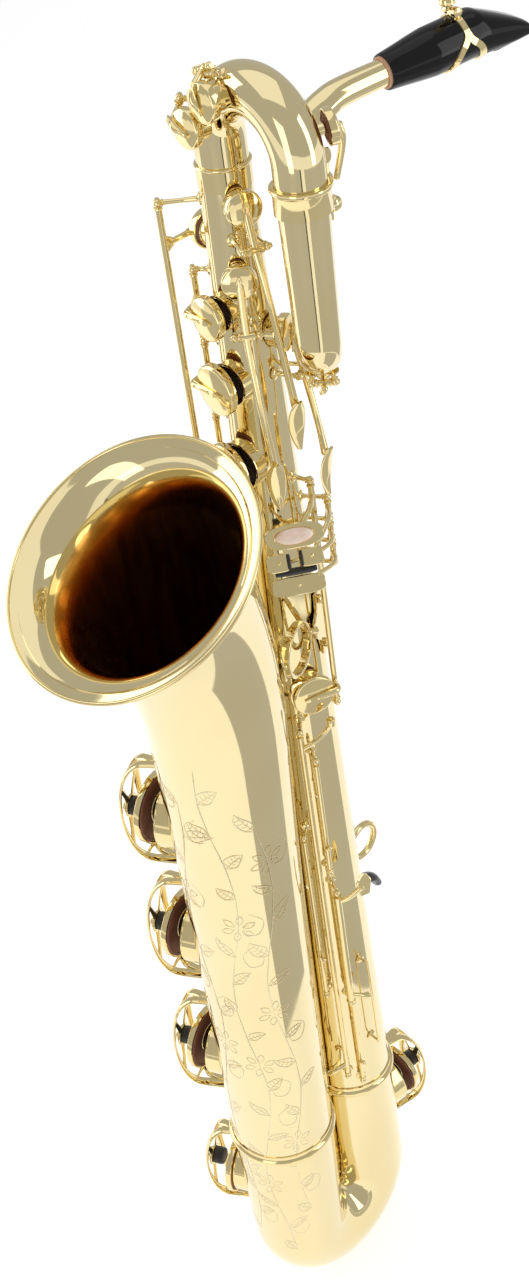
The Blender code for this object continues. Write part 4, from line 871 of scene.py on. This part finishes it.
# ---- bell ----
fine = [through([Vector(p) for p in BELL_PROFILE], i / 14) for i in range(14 * (len(BELL_PROFILE) - 1) + 1)]
outer = [(*bell_point(s), r) for s, r in fine]
thing("bell", "horn", BRASS, [loft(stations_rings(outer, 144, X), caps=False)])
inner = [(p + a * (WALL if i < 118 else 0.0), a, r - WALL) for i, (p, a, r) in enumerate(outer) if i > 10]
flare = [row for row in inner if row[2] > 0.06]
bore = [row for row in inner if row[2] <= 0.0612]
thing("bell_flare", "horn", BRASS, [loft(stations_rings(flare, 144, X), caps=False)])
# The bell bore's inside carries the darker brass of painted shade.
thing("bell_bore", "horn", BORE_SHADE_BRASS, [loft(stations_rings(bore, 120, X), caps=False)])
rim_at, rim_dir = bell_point(BELL_PROFILE[-1][0])
thing("bell_rim", "horn", KEY_BRASS, [torus(rim_at - rim_dir * 0.0004, rim_dir, 0.0885, 0.0014, 144, 16)])

# ---- rings, brace, strap ring, hook ----
for name, centre, r in (("body_bow_ring", Vector(), BODY_R0),
                        ("bell_bow_ring", Vector((0, BELL_Y, BELL_Z)), 0.0405)):
    half_ring = [(r - 0.0002, -0.006), (r + 0.0009, -0.0058), (r + 0.0011, -0.0032), (r + 0.002, -0.0026),
                 (r + 0.0028, -0.0012)]
    thing(name, "horn", KEY_BRASS, [ring_lathe(mirrored(half_ring, (r + 0.0031, 0.0)), centre, Z, 96)])
BRACE_Z = 0.472
brace_mid = Vector((0.03, -0.0245, BRACE_Z))
BRACE_U = Vector((0.3, -0.95, 0)).normalized()
brace_n = BRACE_U.cross(Z)
half_ring = [(0.0168, -0.0027), (0.0174, -0.003), (0.0188, -0.003), (0.0194, -0.0026)]
brace = [ring_lathe(mirrored(half_ring, (0.0196, 0.0)) + [(0.0166, 0.0)], brace_mid, brace_n, 72)]
BELL_PAD_S = 0.4625
bp = bell_point(BELL_PAD_S)[0]
bell_end = brace_mid + BRACE_U * 0.018
bn = Vector((bell_end.x - bp.x, bell_end.y - bp.y, 0)).normalized()
bell_pad = Vector((bp.x, bp.y, BRACE_Z)) + bn * (bell_r(BELL_PAD_S) + 0.0018)
brace.append(plate(rounded(0.0125, 0.007), bell_pad, Z - bn * 0.05, Z.cross(bn), 0.0016, 0.0006))
brace.append(sweep([bell_pad, (bell_pad + bell_end) / 2, bell_end], [0.004, 0.0022, 0.0026], 24))
pn = compass(20.0)
pt = Z.cross(pn)
body_pad = on_body(BRACE_Z) + pn * (body_r(BRACE_Z) + 0.0016)
PLATE_UP = Z - pn * 0.0234
brace_side = [(-0.0055, -0.012), (-0.0085, -0.0095), (-0.012, -0.006), (-0.0185, -0.0048), (-0.025, -0.0042),
              (-0.0262, 0.0005), (-0.025, 0.005)]
brace.append(plate([(-a, c) for a, c in brace_side] + brace_side[::-1], body_pad, PLATE_UP, pt, 0.0022, 0.0007))
brace_root = body_pad - pt * 0.01
ring_end = brace_mid - BRACE_U * 0.018
brace.append(sweep([brace_root, (brace_root + ring_end) / 2, ring_end], [0.0034, 0.002, 0.0024], 24))
thing("ring_brace", "horn", KEY_BRASS, brace)
for tag, h in (("upper", 0.0185), ("lower", -0.0185)):
    q = body_pad + PLATE_UP * h + pt * 0.0005
    thing("brace_screw_" + tag, "horn", KEY_BRASS, [lathe(
        [(0, -0.0008), (0.0015, -0.0008), (0.0015, 0.0011), (0.003, 0.0011), (0.0034, 0.0016), (0.0033, 0.0026),
         (0.0026, 0.0033), (0.0012, 0.0036), (0, 0.0036)], q, pn, 36)])
    # The screw slot is a dark plate of painted shade.
    thing("brace_slot_" + tag, "horn", PAINTED_SHADE, [plate(rounded(0.0032, 0.0004, 6.0, 16), q + pn * 0.0034,
                                                          Z + pt * 0.4, pt, 0.0006, 0.0001)])
strap_pad = Vector((0, body_r(STRAP.z) + GAP + 0.001, STRAP.z))
thing("strap_ring", "horn", KEY_BRASS, [
    torus(STRAP, X, 0.0145, 0.0028, 72, 20),
    plate(rounded(0.0135, 0.0072, 3.2), strap_pad, Z - Y * 0.0234, X, 0.0022, 0.0009),
    sweep([strap_pad + Y * 0.0002, STRAP - Y * 0.0135], [0.006, 0.0034], 28, per=2)])
hook_z = 0.178
hook_pad = Vector((0, body_r(hook_z) + GAP + 0.0011, hook_z))
thing("thumb_hook", "thumb_hook", PLASTIC, [
    plate(rounded(0.014, 0.008, 3.0), hook_pad, Z - Y * 0.0234, X, 0.0024, 0.001),
    sweep([hook_pad + Z * 0.004, hook_pad + Vector((0, 0.01, 0.003)), hook_pad + Vector((0, 0.021, -0.003)),
           hook_pad + Vector((0, 0.027, -0.013))], [0.0064, 0.006, 0.0058, 0.0048], 32, 0.7, up=X, per=8)])
hook_nut = hook_pad + Z * 0.0085
thing("thumb_hook_screw", "thumb_hook", KEY_BRASS, [lathe(
    [(0, 0.0008), (0.003, 0.0008), (0.0033, 0.0014), (0.0032, 0.0024), (0.0022, 0.0031), (0, 0.0033)],
    hook_nut, Y, 28)])


# ---- guards and felts ----
def guard(tag, centre, radius_at, z0, half, phi, rise, wide, felt_top):
    """Sheet-brass cage over a cup, with windows, long slotted foot, boss, screw and felt."""
    d = compass(phi)
    across = Z.cross(d)
    shapes = []
    extra = []
    n = 20

    def spot(t, side, sink=0.0):
        z = z0 + half * math.cos(math.pi * t)
        lift = rise * (max(0.0, math.sin(math.pi * t)) ** 0.42)
        swell = 0.0014 + (wide - 0.0014) * math.sin(math.pi * t)
        return centre(z) + d * (radius_at(z) + 0.0014 + lift - sink) + across * side * swell

    for side in (-1, 1):
        pts = [spot(i / n, side) for i in range(n + 1)]
        shapes.append(sweep(pts, [0.0027 + 0.0012 * abs(math.cos(math.pi * i / n)) for i in range(n + 1)],
                            16, 0.4, up=across, per=2, dome=False))
    for t in (0.16, 0.84):
        shapes.append(sweep([spot(t, -1), spot(t, 0) + d * 0.0006, spot(t, 1)], 0.0022, 14, 0.45, up=Z, per=4))
    top = radius_at(z0) + 0.0014 + rise
    mid = centre(z0) + d * top
    for s in (-1, 1):
        for side in (-1, 1):
            a = spot(0.5 - 0.2 * s, side)
            shapes.append(sweep([mid + across * side * 0.002, (mid + a) / 2 + d * 0.0006, a],
                                [0.004, 0.0022, 0.0024], 14, 0.35, up=across + Z * s * side, per=4))
    shapes.append(lathe([(0, -0.0012), (0.0088, -0.0012), (0.0092, -0.0006), (0.0092, 0.0004), (0.0086, 0.0009),
                         (0.0068, 0.0011), (0.0066, 0.003), (0.006, 0.0038), (0.0024, 0.004), (0, 0.004)],
                        mid, d, 40))
    for z, tail in ((z0 - half, -1), (z0 + half, 1)):
        f = centre(z) + d * (radius_at(z) + GAP + 0.0006)
        slope = (radius_at(z + 0.006 * tail) - radius_at(z)) / (0.006 * tail)
        run = Z + d * slope
        long = 0.012 if tail < 0 else 0.007
        foot_side = [(-0.005, -0.0034), (0.0, -0.0046), (long * 0.6, -0.0042), (long, -0.0024)]
        shapes.append(plate(mirrored(foot_side), f + d * 0.0004, run * tail, across, 0.0014, 0.0005))
        # Dark plates of painted shade stand for the slots in the feet.
        extra.append(plate(rounded(long * 0.32, 0.0007, 5.0, 16), f + run * tail * long * 0.42 + d * 0.0012,
                           run, across, 0.0005, 0.0001))
    thing("guard_" + tag, "horn", KEY_BRASS, shapes)
    # A dark plate of painted shade stands for the slot in the boss.
    extra.append(plate(rounded(0.005, 0.0005, 6.0, 16), mid + d * 0.004, Z + across * 0.5, across, 0.0005,
                       0.0001))
    thing("guard_slots_" + tag, "horn", PAINTED_SHADE, extra)
    low = centre(z0) + d * (felt_top + GAP)
    h = (mid - d * 0.0014 - low).length
    thing("bumper_" + tag, "horn", FELT, [lathe(
        [(0, 0), (0.0058, 0.0), (0.0068, 0.0006), (0.0072, 0.0018), (0.0072, h - 0.001), (0.0068, h), (0, h)],
        low, d, 36)])


for tag, z, hole in BELL_KEYS:
    guard(tag, bell_axis, bell_z_r, z, 0.05 if tag != "low_A" else 0.046, BELL_PHI, 0.0335, 0.015,
          bell_z_r(z) + 0.025)
guard("low_Csharp", bell_leg, leg_bell_r, -0.062, 0.043, BELL_PHI, 0.03, 0.014, R_LEG_BELL + 0.0215)
guard("low_C", on_body, leg_body_r, -0.056, 0.043, 82.0, 0.033, 0.014, R_LEG_BODY + 0.0245)

# ---- left-hand finger table ----
TAB_H = polar(Vector(), 28.0, 0.038)


def table_touch(tag, z_lo, z_hi, at, half, way, extra=()):
    """Touch plate of those half sizes at `at`, on an arm from its hinge tube."""
    mid = (z_lo + z_hi) / 2
    pts = [TAB_H + Z * mid, polar(on_body(mid), 8.0, 0.0435)] + way + [at]
    face = plate(rounded(*half, 4.0), at, TAB_U, TAB_V, 0.0016, 0.0006)
    thing("touch_" + tag, "touch_" + tag, KEY_BRASS, [sweep(pts, 0.0016), face]
          + rod_tube(TAB_H + Z * z_lo, TAB_H + Z * z_hi) + list(extra))


def roller(at, half, along, r):
    """Barrel roller with rounded ends."""
    end = [(0, -half), (r * 0.62, -half), (r * 0.8, -half * 0.93), (r * 0.93, -half * 0.7)]
    return lathe(mirrored(end, (r, 0.0)), at, along, 32)


CS_AT = Vector((0.0385, -0.0385, 0.5545))
B_AT = Vector((0.051, -0.0209, 0.5545))
table_touch("low_Csharp", 0.5397, 0.5513, CS_AT, (0.008, 0.006), [polar(on_body(0.548), -20.0, 0.046)])
table_touch("low_B", 0.5567, 0.5683, B_AT, (0.008, 0.006), [])
bb_at = Vector((0.047, -0.0315, 0.5365))
roll_at = bb_at + TAB_V * 0.0093
ears = [plate([(0.0035, -0.0014), (0.0108, -0.0014), (0.0108, 0.0014), (0.0035, 0.0014)],
              bb_at + TAB_U * s * 0.0146, TAB_V, TAB_N, 0.0014, 0.0003) for s in (-1, 1)]
table_touch("low_Bb", 0.5227, 0.5343, bb_at, (0.0175, 0.0062), [], ears)
rod_posts(TAB_H, (0.52, 0.537, 0.554, 0.571), on_body, body_r)
thing("table_roller", "table_roller", PLASTIC, [roller(roll_at, 0.0134, TAB_U, 0.0025)])
for tag, at, s in (("low_Csharp", CS_AT, 1), ("low_B", B_AT, -1)):
    thing("roller_" + tag, "touch_" + tag, PLASTIC, [roller(at + TAB_U * s * 0.0066 + TAB_N * 0.0012, 0.005,
                                                            TAB_V, 0.0013)])

# ---- linkage and right-hand touch on the player's left ----
LINK = Vector((0.027, -0.03, 0))
thing("link_Csharp", "link_Csharp", KEY_BRASS, rod_tube(LINK + Z * 0.034, LINK + Z * 0.398) + [
    sweep([LINK + Z * 0.386, (0.0325, -0.024, 0.39), (0.037, -0.015, 0.396),
           (0.0405, -0.012, 0.404)], 0.0018),
    cylinder(Vector((0.0405, -0.012, 0.4015)), Vector((0.0405, -0.012, 0.4075)), 0.0032, 28, soft=0.0008),
    sweep([LINK + Z * 0.046, (0.0235, -0.039, 0.044), (0.019, -0.0425, 0.04)],
          [0.0018, 0.0018, 0.0024])])
rod_posts(LINK, (0.0313, 0.4007), on_body, body_r)
THICK = Vector((0.037, -0.025, 0))
thing("touch_low_C", "touch_low_C", KEY_BRASS, rod_tube(THICK + Z * 0.125, THICK + Z * 0.242, 0.003) + [
    sweep([THICK + Z * 0.236, (0.044, -0.02, 0.24), (0.05, -0.01, 0.247)],
          [0.0019, 0.0018, 0.0024]),
    plate(mirrored([(-0.01, -0.0035), (-0.003, -0.0052), (0.004, -0.006), (0.01, -0.003)], (0.0125, 0.0)),
          Vector((0.0505, -0.009, 0.248)), Z, (0.4, 0.9, 0), 0.0024, 0.0009),
    sweep([THICK + Z * 0.132, (0.042, -0.018, 0.128), (0.043, -0.012, 0.123)],
          [0.0019, 0.0018, 0.0028])])
rod_posts(THICK, (0.1223, 0.2447), on_body, body_r)

# ---- body tube and everything soldered to the horn ----
tube_line = [(on_body(z), Z, body_r(z)) for z in [0.0003 + (BODY_H - 0.0006) * i / 16 for i in range(17)]]
thing("main_tube", "horn", BRASS, [loft(stations_rings(tube_line, 96, X))])

# ---- octave cup behind the crook, linkage between body and bell, wire guard ----
oct_seat = foot + CROOK_N * 0.0185 + Z * 0.829 + CROOK_U * 0.003
oct_dir = (CROOK_N * 0.9 + CROOK_U * 0.42 + Z * 0.1).normalized()
thing("octave_cup", "horn", KEY_BRASS, [cup(oct_seat, oct_dir, 0.0098), sweep(
    [oct_seat + oct_dir * 0.0078, oct_seat + oct_dir * 0.0092 - Z * 0.01,
     oct_seat + oct_dir * 0.004 - Z * 0.03],
    [0.0024, 0.0021, 0.0018])])
thing("pad_octave", "horn", LEATHER, [pad(oct_seat, oct_dir, 0.0098)])
HORN.append(cylinder(oct_seat - oct_dir * 0.006, oct_seat - oct_dir * 0.0004, 0.0034, 28))
linkage = []
for (x, y), lo, hi in (((0.0335, -0.02), 0.02, 0.12), ((0.0205, -0.0345), 0.13, 0.3),
                       ((0.032, -0.0235), 0.262, 0.372)):
    rod = Vector((x, y, 0))
    linkage += rod_tube(rod + Z * (lo + 0.0026), rod + Z * (hi - 0.0026), 0.0019)
    rod_posts(rod, (lo, hi), on_body, body_r)
    for t in (0.25, 0.7):
        at = rod + Z * (lo + (hi - lo) * t)
        tip = at + Vector((0.006, -0.003, 0.004)) * (1 if t < 0.5 else -0.7)
        linkage.append(sweep([at, (at + tip) / 2 + Vector((0.001, -0.001, 0)), tip],
                             [0.0015, 0.0015, 0.0021], 14))
thing("low_linkage", "horn", KEY_BRASS, linkage)
loop_dir = compass(-6.0)
ends = [on_body(z) + loop_dir * body_r(z) for z in (0.06, 0.15)]
wire = [sweep([ends[0], ends[0] + loop_dir * 0.007, ends[0] + loop_dir * 0.0085 + Z * 0.006,
               ends[1] + loop_dir * 0.0085 - Z * 0.006, ends[1] + loop_dir * 0.007, ends[1]], 0.001, 12)]
for e in ends:
    wire.append(lathe([(0, 0.0), (0.0042, 0.0), (0.004, 0.0009), (0.0018, 0.0014), (0.0014, 0.002)], e,
                      loop_dir, 24))
thing("wire_guard", "horn", KEY_BRASS, wire)

# ---- engraving: generic leaves, scrolls and flowers ----
random.seed(11)
LIFT = 0.00006
BELL_MEAN_R = 0.042
PETAL = ((0.003, 0), (0.0085, 0.3), (0.0125, 0), (0.0085, -0.3), (0.003, 0))


def skin(z, w):
    """Point and outward normal on the bell or bell leg at height z and angle w."""
    if z > BELL_Z:
        p, a = bell_point(z - BELL_Z)
        r = bell_r(z - BELL_Z)
    else:
        p, a, r = bell_leg(z), Z, leg_bell_r(z)
    v = a.cross(X).normalized()
    out = math.cos(w) * X + math.sin(w) * v
    return p + out * (r + LIFT), out


def stroke(path, half):
    """Cut of the graver along (height, angle) points, widest in its middle."""
    path = [Vector(q) for q in path]
    n = (len(path) - 1) * 7
    pts = [through(path, i / 7) for i in range(n + 1)]
    spots = [skin(*q) for q in pts]
    verts, faces = [], []
    for i, (p, out) in enumerate(spots):
        run = (spots[min(n, i + 1)][0] - spots[max(0, i - 1)][0]).normalized()
        h = half * (0.12 + math.sin(math.pi * (i + 0.5) / (n + 1)) ** 0.8)
        side = out.cross(run) * h
        verts += [p - side, p + out * 0.00004, p + side]
        if i:
            k = 3 * i
            faces += [(k - 3, k - 2, k + 1, k), (k - 2, k - 1, k + 2, k + 1)]
    return verts, faces


def leaf_marks(z, w, turn, long, wide):
    """Outline, vein and hatching of one leaf that grows from (z, w) in direction turn."""
    marks = []
    c, sn = math.cos(turn), math.sin(turn)

    def spot(a, b):
        return z + a * c - b * sn, w + (a * sn + b * c) / BELL_MEAN_R

    for side in (-1, 1):
        marks.append(stroke([spot(0, 0), spot(long * 0.35, side * wide), spot(long * 0.75, side * wide * 0.7),
                             spot(long, long * 0.1)], 0.00034))
    marks.append(stroke([spot(0, 0), spot(long * 0.5, long * 0.03), spot(long * 0.92, long * 0.09)], 0.00024))
    for k in range(1, 5):
        a = long * k / 5.5
        for side in (-1, 1):
            marks.append(stroke([spot(a, 0), spot(a + long * 0.08, side * wide * 0.72)], 0.00017))
    return marks


marks = []
for base, low, high, phase in ((-100.0, -0.1, 0.425, 0.0), (-60.0, -0.112, 0.43, 1.7),
                               (-24.0, -0.06, 0.4, 3.1)):
    steps = int((high - low) / 0.03)
    stem = [(low + (high - low) * i / steps, math.radians(base) + 0.17 * math.sin(phase + i * 0.9))
            for i in range(steps + 1)]
    for i in range(0, steps - 1, 2):
        marks.append(stroke(stem[i:i + 3], 0.00042))
    for i in range(steps):
        z, w = stem[i]
        side = 1 if i % 2 else -1
        if i % 5 == 3:
            for k in range(6):
                a = 2 * math.pi * k / 6 + 0.2
                marks.append(stroke([(z + far * math.cos(a + bend), w + far * math.sin(a + bend) / BELL_MEAN_R)
                                     for far, bend in PETAL], 0.0003))
        else:
            marks += leaf_marks(z, w, side * random.uniform(0.6, 1.2), random.uniform(0.015, 0.024),
                                random.uniform(0.0034, 0.0052))
        if i % 3 == 1:
            marks.append(stroke([(z + 0.014 * math.cos(side * a) * (1 - a / 8),
                                  w + side * (0.2 + 0.012 * math.sin(a) * (1 - a / 8) / BELL_MEAN_R))
                                 for a in (0, 1.2, 2.4, 3.6, 4.8, 6.0)], 0.0003))
thing("engraving", "horn", ENGRAVED, marks)
thing("posts_and_chimneys", "horn", KEY_BRASS, HORN)
# Dark discs of painted shade in the tone holes.
thing("tone_holes", "horn", PAINTED_SHADE, HOLE_SHADE_DISCS)

# ---- camera, floor and light ----
camera = bpy.data.cameras.new("camera")
camera_ob = bpy.data.objects.new("camera", camera)
bpy.context.scene.collection.objects.link(camera_ob)
CAMERA_AT = (0.6994, -0.7304, 0.9846)
right = Vector((0.7447, 0.6567, -0.1191)).normalized()
up = Vector((-0.3349, 0.5221, 0.7844)).normalized()
back = right.cross(up).normalized()
up = back.cross(right)
camera_ob.matrix_world = Matrix([(*row, at) for row, at in zip(zip(right, up, back), CAMERA_AT)] + [(0, 0,
                                                                                                     0, 1)])
camera.lens = 50.39
camera.sensor_width = 36.0
camera.sensor_fit = "AUTO"
camera.dof.use_dof = False
camera.clip_start = 0.01
camera.clip_end = 60.0
scene = bpy.context.scene
scene.camera = camera_ob
scene.view_settings.view_transform = "Standard"
world = bpy.data.worlds.new("studio")
scene.world = world
world.use_nodes = True
sky = world.node_tree.nodes["Background"].inputs
sky["Color"].default_value = (1.0, 1.0, 1.0, 1)
sky["Strength"].default_value = 0.5


def flat_material(name, color, rough, glow):
    m, tree, b = shader(name, color, 0.0, rough, Emission_Strength=glow, Emission_Color=(1, 1, 1, 1))
    tint(tree, b, noise(tree, 3.0, 2.0), (0.3, tuple(c * 0.985 for c in color)), (0.7, color))
    return m


def sheet_mesh(name, corners, mat):
    me = bpy.data.meshes.new(name)
    me.from_pydata([tuple(c) for c in corners], [], [tuple(range(len(corners)))])
    me.materials.append(mat)
    ob = bpy.data.objects.new(name, me)
    scene.collection.objects.link(ob)
    return ob


def floor_card(name, start, end, near, far, glow):
    """Card on the floor between two compass angles and two distances, seen only in reflections."""
    angles = [math.radians(start + (end - start) * i / CARD_STEPS) for i in range(CARD_STEPS + 1)]
    ring = [(CARD_AT.x + r * math.cos(w), CARD_AT.y + r * math.sin(w), FLOOR_Z + 0.0012)
            for r, turns in ((near, angles), (far, angles[::-1])) for w in turns]
    ob = sheet_mesh(name, ring, flat_material(name, (0.02, 0.02, 0.02), 0.9, glow))
    ob.visible_camera = ob.visible_diffuse = ob.visible_shadow = ob.visible_transmission = False


FLOOR_Z = -0.4163
FLOOR_HALF = 12
CARD_AT = Vector((0.0, -0.09, 0.0))
CARD_STEPS = 12
sheet_mesh("floor", [(a * FLOOR_HALF, b * FLOOR_HALF, FLOOR_Z) for a,
                     b in ((-1, -1), (1, -1), (1, 1), (-1, 1))],
                   flat_material("studio_floor", (0.8, 0.8, 0.8), 0.9, 0.56))
floor_card("card_right", -14, 60, 0.34, 1.02, 0.5)
floor_card("card_far_right", -26, 84, 1.06, 3.2, 0.5)
floor_card("card_far_left", -150, -44, 1.06, 3.2, 0.5)
floor_card("card_dark_left", -44, -39, 1.06, 3.2, 0.06)


def softbox(name, at, aim, wide, high, power):
    """Rectangular area light at `at`, facing `aim`, of that size and power."""
    light = bpy.data.lights.new(name, "AREA")
    light.shape = "RECTANGLE"
    light.size = wide
    light.size_y = high
    light.energy = power
    ob = bpy.data.objects.new(name, light)
    scene.collection.objects.link(ob)
    away = (Vector(at) - Vector(aim)).normalized()
    ob.matrix_world = Matrix.Translation(at) @ away.to_track_quat("Z", "Y").to_matrix().to_4x4()


AIM = Vector((0, -0.04, 0.12))
softbox("light_left", (-1.9, -0.9, 0.9), AIM, 1.1, 2.2, 13.0)
softbox("light_front", (0.5, -2.3, 0.6), AIM, 0.9, 2.0, 6.0)
softbox("light_right", (2.0, 0.7, 0.9), AIM, 0.7, 2.2, 8.0)
softbox("light_top", (-0.2, -0.2, 2.6), AIM, 2.4, 2.4, 9.0)
